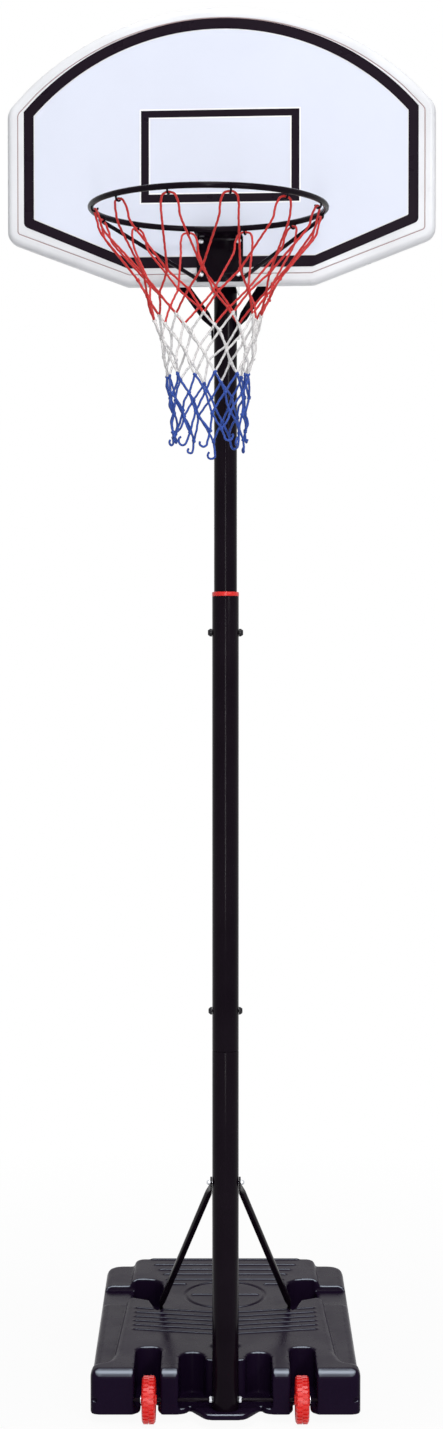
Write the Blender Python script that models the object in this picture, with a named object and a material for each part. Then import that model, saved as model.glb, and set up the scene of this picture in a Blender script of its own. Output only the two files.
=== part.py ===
"""Portable basketball stand: a ballasted base tank with two wheels, a three-tube pole and a hoop head.

Metres, +Z up. The origin is on the floor under the middle of the base tank. The players stand at -Y.
"""

import math

import bmesh
import bpy
from mathutils import Matrix, Vector

# Clearances and steps that all pieces share
GAP = 0.0003
THROUGH = 0.02
ROUND_STEPS = 24
BOLT_STEPS = 12
FILLET_STEPS = 3
LEAST_CORNER = 0.004

# Base tank
TANK_WIDTH = 0.594
TANK_LENGTH = 0.79
TANK_WALL = 0.003
TANK_EDGE = 0.016
DECK_FRONT_HEIGHT = 0.119
DECK_BACK_HEIGHT = 0.165
DECK_FRONT_WIDTH = 0.498
DECK_BACK_WIDTH = 0.455
SHOULDER_FRONT_HEIGHT = 0.100
SHOULDER_BACK_HEIGHT = 0.150
SHOULDER_INSET = 0.0015
SHOULDER_BACK_INSET = 0.010
FRONT_LIFT = 0.020
FRONT_LIFT_LENGTH = 0.106
BLOCK_TOP_LENGTH = 0.052
BACK_CORNER = 0.035
DECK_BACK_CORNER = 0.022
FRONT_CORNER = 0.018
FLARE_WIDTH = 0.012
FLARE_LENGTH = 0.016
FLARE_CORNER = 0.030
BLEND_LENGTH = 0.054
BLEND_CORNER = 0.060
DECK_SIDE_CURVE = 0.200

# Notches, pockets and tongue of the tank
WHEEL_TRACK = 0.336
NOTCH_WIDTH = 0.058
NOTCH_OUT = 0.004
NOTCH_LENGTH = 0.148
NOTCH_CORNER = 0.022
INNER_BLOCK_WIDTH = 0.040
BUTTRESS_WIDTH = 0.090
NOSE_WIDTH = 0.048
EAR_START = 0.068
EAR_CORNER = 0.010
POCKET_LENGTH = 0.115
TONGUE_WIDTH = 0.086
TONGUE_ROOT_WIDTH = 0.158
TONGUE_CORNER = 0.024
TONGUE_THICKNESS = 0.014
TONGUE_REACH = 0.044
LIP_CORNER = 0.024
LIP_SETBACK = 0.001
SLOT_CLEARANCE = 0.004
SLOT_BEHIND = 0.010
SLOT_CORNER = 0.012
REAR_POCKET_INNER = 0.150
REAR_POCKET_OUTER = 0.223
REAR_POCKET_START = 0.464
REAR_POCKET_SLANT = 0.023
REAR_POCKET_END = 0.621
REAR_POCKET_FLOOR = 0.085
REAR_POCKET_FRONT_CORNER = 0.010
REAR_POCKET_BACK_CORNER = 0.015
REAR_POCKET_INNER_CORNER = 0.045
FOOT_NOTCH_WIDTH = 0.030
FOOT_NOTCH_FRONT_WIDTH = 0.014
FOOT_NOTCH_START = 0.396
FOOT_NOTCH_CORNER = 0.008
SHOULDER_CHANNEL_DEPTH = 0.009
SHOULDER_CHANNEL_LENGTH = 0.130
SHOULDER_CHANNEL_MIDDLE = 0.550
SHOULDER_CHANNEL_OVERLAP = 0.010
WATER_LEVEL = 0.078

# Filling hole
FILLER_BEHIND_POLE = 0.155
FILLER_RADIUS = 0.020
FILLER_NECK_WALL = 0.012
FILLER_NECK_RISE = 0.004
CAP_RIM = 0.005
CAP_HEIGHT = 0.006
CAP_CHAMFER = 0.0015
CAP_PLUG_LENGTH = 0.013
CAP_GRIP_HEIGHT = 0.007
CAP_GRIP_WIDTH = 0.008
CAP_GRIP_INSET = 0.005

# Wheels and axle
WHEEL_RADIUS = 0.052
WHEEL_WIDTH = 0.030
WHEEL_HUB_LENGTH = 0.034
WHEEL_HUB_RADIUS = 0.011
WHEEL_WEB = 0.010
WHEEL_RIM = 0.010
TREAD_DEPTH = 0.0025
TREAD_EDGE = 0.004
FLOOR_GAP = 0.0005
AXLE_RADIUS = 0.004
AXLE_SEAT = 0.018
AXLE_NUT_FLAT = 0.0065
AXLE_NUT_HEIGHT = 0.006
WASHER_RADIUS = 0.008
WASHER_THICKNESS = 0.0015

# Pole
POLE_SETBACK = 0.006
POLE_DIAMETER = 0.058
UPPER_POLE_DIAMETER = 0.050
POLE_WALL = 0.0012
SWAGE_LENGTH = 0.126
SWAGE_STEP = 0.001
MIDDLE_POLE_BOTTOM = 0.824
MIDDLE_POLE_LENGTH = 0.990
UPPER_POLE_LENGTH = 1.100
COLLAR_HEIGHT = 0.009
COLLAR_CHAMFER = 0.0015
COLLAR_SLEEVE_LENGTH = 0.110
POLE_CAP_HEIGHT = 0.006
POLE_CAP_PLUG = 0.015
POLE_CAP_CHAMFER = 0.0045

# Bolts, nuts and clamp screws
JOINT_BOLT_ABOVE = 0.086
CLAMP_BELOW_TOP = 0.079
CLAMP_SHANK_RADIUS = 0.005
CLAMP_HEAD_RADIUS = 0.0085
CLAMP_HEAD_HEIGHT = 0.009
CLAMP_SOCKET_RADIUS = 0.003
CLAMP_SOCKET_DEPTH = 0.0045
BOLT_RADIUS = 0.003
BOLT_HEAD_RADIUS = 0.0055
BOLT_HEAD_HEIGHT = 0.004
BOLT_OVERHANG = 0.003
NUT_FLAT_RADIUS = 0.005
NUT_HEIGHT = 0.005
SCREW_LENGTH = 0.016
HEAD_EDGE_SHARE = 0.35
DOME_WIDTH_SHARE = 0.72
DOME_HEIGHT_SHARE = 0.85

# Rear struts
STRUT_DIAMETER = 0.016
STRUT_TAB_THICKNESS = 0.004
STRUT_TAB_WIDTH = 0.020
STRUT_TAB_END = 0.012
STRUT_TOP_TAB = 0.018
STRUT_FOOT_TAB = 0.036
STRUT_BOLT_HEIGHT = 0.533
STRUT_FOOT_BEHIND_POLE = 0.436
STRUT_FOOT_HEIGHT = 0.125
STRUT_TAPER = 0.024
TAB_TIP_SHARE = 0.7
TAB_SHOULDER_SHARE = 0.6
BAR_POINTS = 16
BAR_SQUARENESS = 0.75

# Head: the board, the ring and what joins them to the pole; it is clamped a little off straight
HEAD_TURN = math.radians(-4.2)
RING_HEIGHT = 2.564
RING_INNER_DIAMETER = 0.450
RING_ROD_RADIUS = 0.006
RING_CLEARANCE = 0.072
HOOK_COUNT = 12
HOOK_RADIUS = 0.006
HOOK_WIRE_RADIUS = 0.002
HOOK_DROP = 0.008
HOOK_ROOT = 0.003
HOOK_BENDS = 4
HOOK_SIDES = 5
RING_SIDES = 8
BOARD_WIDTH = 0.900
BOARD_HEIGHT = 0.578
BOARD_THICKNESS = 0.030
BOARD_SIDE_BOTTOM = 0.096
BOARD_FLAT_WIDTH = 0.392
BOARD_ARC_RADIUS = 0.590
BOARD_CORNER = 0.030
BOARD_UPPER_CORNER = 0.040
BOARD_EDGE = 0.012
BOARD_EDGE_STEPS = 3
BOARD_SHEET = 0.006
BOARD_RIM = 0.012
BOARD_RIB = 0.008
BOARD_COLUMN = 0.120
BOARD_ROW = 0.130
BOARD_LEAST_CELL = 0.125
BOARD_ARC_STEPS = 16
BOARD_OFFSET = 0.131
BOARD_BELOW_RING = 0.102
BRACKET_WIDTH = 0.110
BRACKET_HEIGHT = 0.108
BRACKET_TAIL = 0.030
BRACKET_SHEET = 0.003
BRACKET_BOLT_SPACING = 0.060
PLATE_WIDTH = 0.097
PLATE_HEIGHT = 0.094
PLATE_THICKNESS = 0.003
PLATE_BELOW_RING = 0.002
RING_BOLT_SPACING_X = 0.0786
RING_BOLT_SPACING_Z = 0.069
RING_BOLT_BELOW_RING = 0.0115
RING_BRACE_RADIUS = 0.004
RING_BRACE_END_WIDTH = 0.0048
RING_BRACE_ANGLE = math.radians(20)
V_BRACE_WIDTH = 0.024
V_BRACE_THICKNESS = 0.005
V_BRACE_BELOW_BOARD = 0.079
V_BRACE_TAB = 0.018
V_BRACE_TAB_END = 0.012
V_BRACE_COLUMNS = 1.5
BRACE_SCREW_RADIUS = 0.0018

# Net
NET_CORD = 0.004
NET_FIRST_LEG = 0.130
NET_ROW = 0.038
NET_ROWS = 9
NET_NECK_RADIUS = 0.075
NET_TAPER_LENGTH = 0.360
NET_TAPER_POWER = 1.85
NET_SEAT = 0.0017

# Derived places
POLE_Y = -TANK_LENGTH / 2 + POLE_SETBACK
POLE_RADIUS = POLE_DIAMETER / 2
UPPER_POLE_RADIUS = UPPER_POLE_DIAMETER / 2
FRONT_Y = -TANK_LENGTH / 2
BACK_Y = TANK_LENGTH / 2
WHEEL_X = WHEEL_TRACK / 2
NOTCH_INNER = WHEEL_X + NOTCH_OUT - NOTCH_WIDTH / 2
NOTCH_OUTER = NOTCH_INNER + NOTCH_WIDTH
POCKET_OUTER = NOTCH_INNER - INNER_BLOCK_WIDTH
POCKET_INNER = BUTTRESS_WIDTH / 2
AXLE_Z = WHEEL_RADIUS + FLOOR_GAP
TONGUE_TOP = FRONT_LIFT + TONGUE_THICKNESS
POLE_FOOT_Z = TONGUE_TOP + GAP
NECK_RADIUS = POLE_RADIUS - POLE_WALL - GAP
JOINT_BOLT_Z = MIDDLE_POLE_BOTTOM + JOINT_BOLT_ABOVE
MIDDLE_POLE_TOP = MIDDLE_POLE_BOTTOM + MIDDLE_POLE_LENGTH
CLAMP_Z = MIDDLE_POLE_TOP - CLAMP_BELOW_TOP
STRUT_TAB_X = POLE_RADIUS + GAP + STRUT_TAB_THICKNESS / 2
STRUT_FOOT_X = REAR_POCKET_INNER + GAP + STRUT_TAB_THICKNESS / 2
STRUT_FOOT_Y = POLE_Y + STRUT_FOOT_BEHIND_POLE
RING_RADIUS = RING_INNER_DIAMETER / 2 + RING_ROD_RADIUS
HOOK_CIRCLE = RING_RADIUS - HOOK_RADIUS
BOARD_BOTTOM = RING_HEIGHT - BOARD_BELOW_RING
BOARD_BACK = -BOARD_OFFSET
BOARD_FRONT = BOARD_BACK - BOARD_THICKNESS
RING_CENTRE = BOARD_FRONT - RING_CLEARANCE - RING_RADIUS - RING_ROD_RADIUS
PLATE_TOP = RING_HEIGHT - PLATE_BELOW_RING
UPPER_POLE_TOP = PLATE_TOP + BRACKET_TAIL
UPPER_POLE_BOTTOM = UPPER_POLE_TOP - UPPER_POLE_LENGTH
BRACKET_BOTTOM = PLATE_TOP - PLATE_HEIGHT
V_BRACE_BOLT_Z = BOARD_BOTTOM - V_BRACE_BELOW_BOARD
V_BRACE_TOP_X = V_BRACE_COLUMNS * BOARD_COLUMN
V_BRACE_TOP_Z = BOARD_BOTTOM + BOARD_RIM + BOARD_ROW

ALONG_X = (0.0, math.pi / 2, 0.0)
ALONG_MINUS_X = (0.0, -math.pi / 2, 0.0)
ALONG_Y = (-math.pi / 2, 0.0, 0.0)
UPRIGHT = (math.pi / 2, 0.0, 0.0)
HEX = "hex"
TREAD = "tread"


def clear_scene():
    """Remove every object of the open scene."""
    for obj in list(bpy.data.objects):
        bpy.data.objects.remove(obj, do_unlink=True)


def material(name, colour, roughness, metallic=0.0):
    """A Principled material, made once for each name."""
    found = bpy.data.materials.get(name)
    if found is not None:
        return found
    made = bpy.data.materials.new(name)
    made.use_nodes = True
    shader = made.node_tree.nodes["Principled BSDF"]
    shader.inputs["Base Color"].default_value = (*colour, 1.0)
    shader.inputs["Roughness"].default_value = roughness
    shader.inputs["Metallic"].default_value = metallic
    return made


def tank_plastic():
    return material("tank_plastic", (0.045, 0.045, 0.055), 0.45)


def water():
    return material("water", (0.35, 0.55, 0.65), 0.05)


def black_paint():
    return material("black_paint", (0.010, 0.008, 0.012), 0.25)


def black_plastic():
    return material("black_plastic", (0.015, 0.015, 0.018), 0.4)


def red_plastic():
    return material("red_plastic", (0.68, 0.015, 0.02), 0.4)


def zinc_steel():
    return material("zinc_steel", (0.65, 0.66, 0.68), 0.3, 1.0)


def board_plastic():
    return material("board_plastic", (0.80, 0.83, 0.90), 0.35)


def net_cord():
    return material("net_cord", (0.65, 0.02, 0.03), 0.8)


def finish(name, bm, surface, location=(0, 0, 0), rotation=(0, 0, 0), parent=None):
    """Make an object of a bmesh, with outward faces, smooth round sides and one material."""
    bmesh.ops.remove_doubles(bm, verts=bm.verts, dist=1e-6)
    bmesh.ops.recalc_face_normals(bm, faces=bm.faces)
    mesh = bpy.data.meshes.new(name)
    bm.to_mesh(mesh)
    bm.free()
    mesh.shade_smooth()
    mesh.set_sharp_from_angle(angle=math.radians(35))
    mesh.materials.append(surface)
    obj = bpy.data.objects.new(name, mesh)
    bpy.context.collection.objects.link(obj)
    obj.location = location
    obj.rotation_euler = rotation
    obj.parent = parent
    return obj


def combine(obj, other, operation="DIFFERENCE"):
    """Cut other out of obj, or join it on, and keep other as a hidden guide."""
    modifier = obj.modifiers.new(other.name, "BOOLEAN")
    modifier.operation = operation
    modifier.solver = "EXACT"
    modifier.object = other
    other.hide_render = True
    other.display_type = "WIRE"


def row_radius(row, step, steps):
    """A profile row's radius at one of the steps: round, hexagonal or with tread blocks."""
    radius = row[0]
    shape = row[2] if len(row) > 2 else None
    if shape == HEX:
        sixth = math.pi / 3
        angle = math.tau * step / steps
        return radius / math.cos(angle % sixth - sixth / 2)
    if shape == TREAD and step % 2:
        return radius - TREAD_DEPTH
    return radius


def turned_bmesh(profile, steps, closed):
    """Turn (radius, z) rows about Z; a closed profile is a ring, an open one starts and ends on the axis."""
    bm = bmesh.new()
    columns = []
    for step in range(steps):
        angle = math.tau * step / steps
        column = []
        for row in profile:
            radius = row_radius(row, step, steps)
            column.append(bm.verts.new((radius * math.cos(angle), radius * math.sin(angle), row[1])))
        columns.append(column)
    last = len(profile) if closed else len(profile) - 1
    for step in range(steps):
        here = columns[step]
        beside = columns[(step + 1) % steps]
        for row in range(last):
            after = (row + 1) % len(profile)
            bm.faces.new((here[row], beside[row], beside[after], here[after]))
    return bm


def turned(name, profile, surface, closed=False, steps=ROUND_STEPS, **place):
    return finish(name, turned_bmesh(profile, steps, closed), surface, **place)


def rod(name, radius, low, high, surface, steps=ROUND_STEPS, **place):
    """A round rod along its own Z."""
    return turned(name, [(0, low), (radius, low), (radius, high), (0, high)], surface, steps=steps, **place)


def tube(name, outer, inner, low, high, surface, steps=ROUND_STEPS, **place):
    """A round tube along its own Z."""
    profile = [(inner, low), (outer, low), (outer, high), (inner, high)]
    return turned(name, profile, surface, closed=True, steps=steps, **place)


def filleted(corners, steps=FILLET_STEPS):
    """A closed outline through (x, y, radius) corners, each rounded to its radius."""
    outline = []
    for i, (x, y, radius) in enumerate(corners):
        here = Vector((x, y))
        if radius <= 0:
            outline.append(here)
            continue
        back = (Vector(corners[i - 1][:2]) - here).normalized()
        ahead = (Vector(corners[(i + 1) % len(corners)][:2]) - here).normalized()
        half = back.angle(ahead) / 2
        centre = here + (back + ahead).normalized() * radius / math.sin(half)
        start = here + back * radius / math.tan(half) - centre
        end = here + ahead * radius / math.tan(half) - centre
        first = math.atan2(start.y, start.x)
        sweep = (math.atan2(end.y, end.x) - first + math.pi) % math.tau - math.pi
        for k in range(steps + 1):
            angle = first + sweep * k / steps
            outline.append(centre + Vector((math.cos(angle), math.sin(angle))) * radius)
    return outline


def rectangle(low_x, low_y, high_x, high_y, radius=0.0):
    """The corners of a rectangle, each with the same radius."""
    return [
        (low_x, low_y, radius),
        (high_x, low_y, radius),
        (high_x, high_y, radius),
        (low_x, high_y, radius),
    ]


def prism_bmesh(outline, low, high, bm=None):
    """Extrude a closed outline along Z; low and high are heights, or functions of (x, y)."""
    bm = bm or bmesh.new()
    low_at = low if callable(low) else lambda x, y: low
    high_at = high if callable(high) else lambda x, y: high
    bottom = [bm.verts.new((x, y, low_at(x, y))) for x, y in outline]
    top = [bm.verts.new((x, y, high_at(x, y))) for x, y in outline]
    bm.faces.new(bottom)
    bm.faces.new(top)
    for i in range(len(outline)):
        j = (i + 1) % len(outline)
        bm.faces.new((bottom[i], bottom[j], top[j], top[i]))
    return bm


def prism(name, outline, low, high, surface, **place):
    return finish(name, prism_bmesh(outline, low, high), surface, **place)


def bolt(name, length, surface, radius=BOLT_RADIUS, head=BOLT_HEAD_RADIUS, height=BOLT_HEAD_HEIGHT, **place):
    """A dome-headed bolt: the shank runs along +Z from the underside of its head, at z = 0."""
    profile = [
        (0, length),
        (radius, length),
        (radius, 0),
        (head, 0),
        (head, -height * HEAD_EDGE_SHARE),
        (head * DOME_WIDTH_SHARE, -height * DOME_HEIGHT_SHARE),
        (0, -height),
    ]
    return turned(name, profile, surface, steps=BOLT_STEPS, **place)


def nut(name, surface, radius=BOLT_RADIUS, flat=NUT_FLAT_RADIUS, height=NUT_HEIGHT, **place):
    """A hexagon nut, from z = 0 along +Z."""
    profile = [(radius + GAP, 0), (flat, 0, HEX), (flat, height, HEX), (radius + GAP, height)]
    return turned(name, profile, surface, closed=True, steps=BOLT_STEPS, **place)


def cap_nut(name, surface, depth, radius=BOLT_RADIUS, head=BOLT_HEAD_RADIUS, **place):
    """A dome nut, from z = 0 along +Z, whose blind hole takes a bolt's end."""
    top = depth + BOLT_OVERHANG
    profile = [
        (0, depth),
        (radius + GAP, depth),
        (radius + GAP, 0),
        (head, 0),
        (head, top * HEAD_EDGE_SHARE),
        (head * DOME_WIDTH_SHARE, top * DOME_HEIGHT_SHARE),
        (0, top),
    ]
    return turned(name, profile, surface, steps=BOLT_STEPS, **place)


def bolt_hole(name, radius, low, high, surface, **place):
    """A cutter for a bolt with its clearance, along its own Z."""
    return rod(name, radius + GAP, low, high, surface, steps=BOLT_STEPS, **place)


def bar(name, stations, surface, parent=None):
    """A bar through cross-sections: (centre, width vector, thickness vector, squareness 0 round to 1)."""
    bm = bmesh.new()
    rings = []
    for centre, wide, thick, square in stations:
        power = 1.0 - BAR_SQUARENESS * square
        ring = []
        for k in range(BAR_POINTS):
            angle = math.tau * (k + 0.5) / BAR_POINTS
            along = math.copysign(abs(math.cos(angle)) ** power, math.cos(angle))
            across = math.copysign(abs(math.sin(angle)) ** power, math.sin(angle))
            ring.append(bm.verts.new(centre + wide * along + thick * across))
        rings.append(ring)
    bm.faces.new(rings[0])
    bm.faces.new(rings[-1])
    for here, beyond in zip(rings, rings[1:]):
        for k in range(BAR_POINTS):
            after = (k + 1) % BAR_POINTS
            bm.faces.new((here[k], here[after], beyond[after], beyond[k]))
    return finish(name, bm, surface, parent=parent)


def deck_height(x, y):
    """The height of the deck, which climbs to the back."""
    climb = (DECK_BACK_HEIGHT - DECK_FRONT_HEIGHT) / TANK_LENGTH
    return DECK_FRONT_HEIGHT + (y - FRONT_Y) * climb


def shoulder_height(x, y):
    """The height of the lower shoulders beside the deck."""
    climb = (SHOULDER_BACK_HEIGHT - SHOULDER_FRONT_HEIGHT) / TANK_LENGTH
    return SHOULDER_FRONT_HEIGHT + (y - FRONT_Y) * climb


def mirrored(right):
    """A closed outline's corners from those on its right side, front to back."""
    return right + [(-x, y, radius) for x, y, radius in reversed(right)]


def drawn_in(corners, inset):
    """Move an outline's right-hand corners in from its side and its two ends."""
    front = min(y for x, y, radius in corners) + inset
    back = max(y for x, y, radius in corners) - inset
    moved = []
    for x, y, radius in corners:
        y = min(max(y, front), back)
        moved.append((x - inset, y, max(radius - inset, LEAST_CORNER)))
    return moved


def tank_block(name, right, height, low, inset):
    """A block of the tank with a sloping top whose edges are rounded."""
    outline = filleted(mirrored(drawn_in(right, inset)))
    bm = prism_bmesh(outline, low + inset, lambda x, y: height(x, y) - inset)
    bm.faces.ensure_lookup_table()
    top_face = bm.faces[1]
    bmesh.ops.recalc_face_normals(bm, faces=bm.faces)
    bmesh.ops.bevel(
        bm,
        geom=list(top_face.edges),
        offset=TANK_EDGE - inset,
        segments=2,
        profile=0.5,
        affect="EDGES",
    )
    return finish(name, bm, tank_plastic())


def deck_corners():
    """The right side of the raised deck, which flares out into the blocks beside the wheels."""
    half = TANK_WIDTH / 2
    flare = FRONT_Y + BLOCK_TOP_LENGTH
    return [
        (half, FRONT_Y, FRONT_CORNER),
        (half, flare, FRONT_CORNER),
        (DECK_FRONT_WIDTH / 2 + FLARE_WIDTH, flare + FLARE_LENGTH, FLARE_CORNER),
        (DECK_FRONT_WIDTH / 2, flare + FLARE_LENGTH + BLEND_LENGTH, BLEND_CORNER),
        ((DECK_FRONT_WIDTH + DECK_BACK_WIDTH) / 4, 0.0, DECK_SIDE_CURVE),
        (DECK_BACK_WIDTH / 2, BACK_Y, DECK_BACK_CORNER),
    ]


def shoulder_corners():
    """The right side of the lower body, behind the front blocks."""
    half = TANK_WIDTH / 2 - SHOULDER_INSET
    return [
        (half, FRONT_Y + BLOCK_TOP_LENGTH / 2, FRONT_CORNER),
        (half, BACK_Y - SHOULDER_BACK_INSET, BACK_CORNER),
    ]


def hole_prism(name, corners, low, high):
    return prism(name, filleted(corners), low, high, tank_plastic())


def side_cutters(tag, side, grow):
    """Cutters of one side of the tank: wheel notch, rear pocket and shoulder channel."""
    above = DECK_BACK_HEIGHT + THROUGH
    before = FRONT_Y - THROUGH
    notch = [
        (NOTCH_INNER - grow, before, 0),
        (NOTCH_OUTER + grow, before, 0),
        (NOTCH_OUTER + grow, FRONT_Y + NOTCH_LENGTH + grow, NOTCH_CORNER),
        (NOTCH_INNER - grow, FRONT_Y + NOTCH_LENGTH + grow, NOTCH_CORNER),
    ]
    inner = REAR_POCKET_INNER - grow
    outer = REAR_POCKET_OUTER + grow
    start = FRONT_Y + REAR_POCKET_START - grow
    foot_front = REAR_POCKET_INNER + FOOT_NOTCH_FRONT_WIDTH + grow
    foot = REAR_POCKET_INNER + FOOT_NOTCH_WIDTH + grow
    rear = [
        (inner, FRONT_Y + FOOT_NOTCH_START - grow, LEAST_CORNER),
        (foot_front, FRONT_Y + FOOT_NOTCH_START - grow, FOOT_NOTCH_CORNER),
        (foot, start, FOOT_NOTCH_CORNER),
        (outer, start + REAR_POCKET_SLANT, REAR_POCKET_FRONT_CORNER),
        (outer, FRONT_Y + REAR_POCKET_END + grow, REAR_POCKET_BACK_CORNER),
        (inner, FRONT_Y + REAR_POCKET_END + grow, REAR_POCKET_INNER_CORNER),
    ]
    channel_middle = FRONT_Y + SHOULDER_CHANNEL_MIDDLE
    channel_half = SHOULDER_CHANNEL_LENGTH / 2 + grow
    channel = rectangle(
        REAR_POCKET_OUTER - SHOULDER_CHANNEL_OVERLAP - grow,
        channel_middle - channel_half,
        TANK_WIDTH / 2 + THROUGH,
        channel_middle + channel_half,
    )
    channel_floor = shoulder_height(0, channel_middle) - SHOULDER_CHANNEL_DEPTH - grow
    holes = (
        ("wheel_notch", notch, -THROUGH),
        ("rear_pocket", rear, REAR_POCKET_FLOOR - grow),
        ("shoulder_channel", channel, channel_floor),
    )
    cutters = []
    for name, right, low in holes:
        corners = [(side * x, y, radius) for x, y, radius in right]
        cutters.append(hole_prism(f"{tag}_{name}_{side_name(side)}", corners, low, above))
    return cutters


def front_recess(tag, grow):
    """The two round pockets beside the pole, and between them the space in which its foot stands."""
    end = FRONT_Y + POCKET_LENGTH + grow
    ears = FRONT_Y + EAR_START + grow
    pocket_round = (POCKET_OUTER - POCKET_INNER) / 2 + grow - GAP
    right = [
        (POCKET_OUTER + grow, FRONT_Y - THROUGH, 0),
        (POCKET_OUTER + grow, end, pocket_round),
        (POCKET_INNER - grow, end, pocket_round),
        (POCKET_INNER - grow, ears, EAR_CORNER),
        (NOSE_WIDTH / 2 - grow, ears, EAR_CORNER),
        (NOSE_WIDTH / 2 - grow, POLE_Y + POLE_RADIUS + GAP + grow, 0),
    ]
    return hole_prism(f"{tag}_front_recess", mirrored(right), -THROUGH, DECK_BACK_HEIGHT + THROUGH)


def front_lift(tag, grow):
    """The wedge under the front of the tank, which stands clear of the floor."""
    outline = [
        (FRONT_Y - THROUGH, -THROUGH),
        (FRONT_Y + FRONT_LIFT_LENGTH + FRONT_LIFT + THROUGH, -THROUGH),
        (FRONT_Y + FRONT_LIFT_LENGTH + grow / 2, FRONT_LIFT + grow),
        (FRONT_Y - THROUGH, FRONT_LIFT + grow),
    ]
    half = TANK_WIDTH / 2 + THROUGH
    bm = prism_bmesh([Vector(point) for point in outline], -half, half)
    upright = Matrix(((0, 0, 1, 0), (1, 0, 0, 0), (0, 1, 0, 0), (0, 0, 0, 1)))
    bmesh.ops.transform(bm, matrix=upright, verts=bm.verts)
    return finish(f"{tag}_front_lift", bm, tank_plastic())


def tank_form(tag, inset):
    """The tank's form, drawn in by inset on every side: its outside, or the hollow inside."""
    body = tank_block(f"{tag}_shoulders" if inset else tag, shoulder_corners(), shoulder_height, 0.0, inset)
    deck = tank_block(f"{tag}_deck", deck_corners(), deck_height, GAP, inset)
    combine(body, deck, "UNION")
    for side in (-1, 1):
        for cutter in side_cutters(tag, side, inset):
            combine(body, cutter)
    combine(body, front_recess(tag, inset))
    combine(body, front_lift(tag, inset))
    return body


def side_name(side):
    return "left" if side < 0 else "right"


def axle_seat(name, radius, side):
    """A cylinder round one half of the axle, out to past the tank's side."""
    return rod(
        name,
        radius,
        0.0,
        TANK_WIDTH,
        tank_plastic(),
        location=(0, POLE_Y, AXLE_Z),
        rotation=ALONG_X if side > 0 else ALONG_MINUS_X,
    )


def foot_screw_cylinder(name, radius, low, high, side):
    """A cylinder round a strut's foot screw, from the rear pocket's inner wall into the tank."""
    return rod(
        name,
        radius,
        low,
        high,
        tank_plastic(),
        steps=BOLT_STEPS,
        location=(side * REAR_POCKET_INNER, STRUT_FOOT_Y, STRUT_FOOT_HEIGHT),
        rotation=ALONG_MINUS_X if side > 0 else ALONG_X,
    )


def front_floor():
    """The plate under the front: a tongue for the pole's foot, pocket floors and lips beside the wheels."""
    front = FRONT_Y + LIP_SETBACK
    slot_half = WHEEL_WIDTH / 2 + SLOT_CLEARANCE
    slot_end = POLE_Y + WHEEL_RADIUS + SLOT_BEHIND
    outer = WHEEL_X + slot_half + LIP_CORNER + TANK_WALL
    right = [
        (TONGUE_WIDTH / 2, POLE_Y - TONGUE_REACH, TONGUE_CORNER),
        (TONGUE_ROOT_WIDTH / 2, front + LIP_CORNER, 0),
        (TONGUE_ROOT_WIDTH / 2, front, LIP_CORNER - GAP),
        (WHEEL_X - slot_half, front, LIP_CORNER),
        (WHEEL_X - slot_half, slot_end, SLOT_CORNER),
        (WHEEL_X + slot_half, slot_end, SLOT_CORNER),
        (WHEEL_X + slot_half, front, LIP_CORNER),
        (outer, front, 0),
        (outer, FRONT_Y + NOTCH_LENGTH + TANK_WALL / 2, 0),
    ]
    return hole_prism("front_floor", mirrored(right), FRONT_LIFT, TONGUE_TOP)


def filler_neck_top():
    return deck_height(0, POLE_Y + FILLER_BEHIND_POLE) + FILLER_NECK_RISE


def make_tank():
    """The hollow tank, with its front floor, axle bores, strut screw holes and filling neck."""
    tank = tank_form("base_tank", 0.0)
    combine(tank, front_floor(), "UNION")
    hollow = tank_form("hollow", TANK_WALL)
    for side in (-1, 1):
        tag = side_name(side)
        combine(hollow, axle_seat(f"axle_seat_{tag}", AXLE_RADIUS + 2 * TANK_WALL, side))
        low = -TANK_WALL
        high = SCREW_LENGTH + TANK_WALL
        boss = foot_screw_cylinder(f"screw_boss_{tag}", BOLT_RADIUS + 2 * TANK_WALL, low, high, side)
        combine(hollow, boss)
    combine(tank, hollow)
    filler = {"location": (0, POLE_Y + FILLER_BEHIND_POLE, filler_neck_top())}
    mouth_radius = FILLER_RADIUS + FILLER_NECK_WALL / 2
    depth = CAP_PLUG_LENGTH
    mouth = rod("filler_mouth", mouth_radius, -depth - TANK_WALL, THROUGH, tank_plastic(), **filler)
    combine(tank, mouth)
    neck_radius = FILLER_RADIUS + FILLER_NECK_WALL
    neck = tube("filler_neck", neck_radius, FILLER_RADIUS, -depth, 0, tank_plastic(), **filler)
    combine(tank, neck, "UNION")
    for side in (-1, 1):
        tag = side_name(side)
        combine(tank, axle_seat(f"axle_bore_{tag}", AXLE_RADIUS + GAP, side))
        hole_end = SCREW_LENGTH
        hole = foot_screw_cylinder(f"foot_screw_hole_{tag}", BOLT_RADIUS + GAP, -THROUGH, hole_end, side)
        combine(tank, hole)


def make_ballast():
    """The water in the tank, level and clear of the front notches."""
    start = FRONT_Y + NOTCH_LENGTH + 2 * TANK_WALL
    half = TANK_WIDTH / 2 - SHOULDER_INSET - 2 * TANK_WALL
    end = BACK_Y - SHOULDER_BACK_INSET - 2 * TANK_WALL
    corners = rectangle(-half, start, half, end, BACK_CORNER)
    low = TANK_WALL + GAP
    prism("water_ballast", filleted(corners), low, WATER_LEVEL, water())


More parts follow.
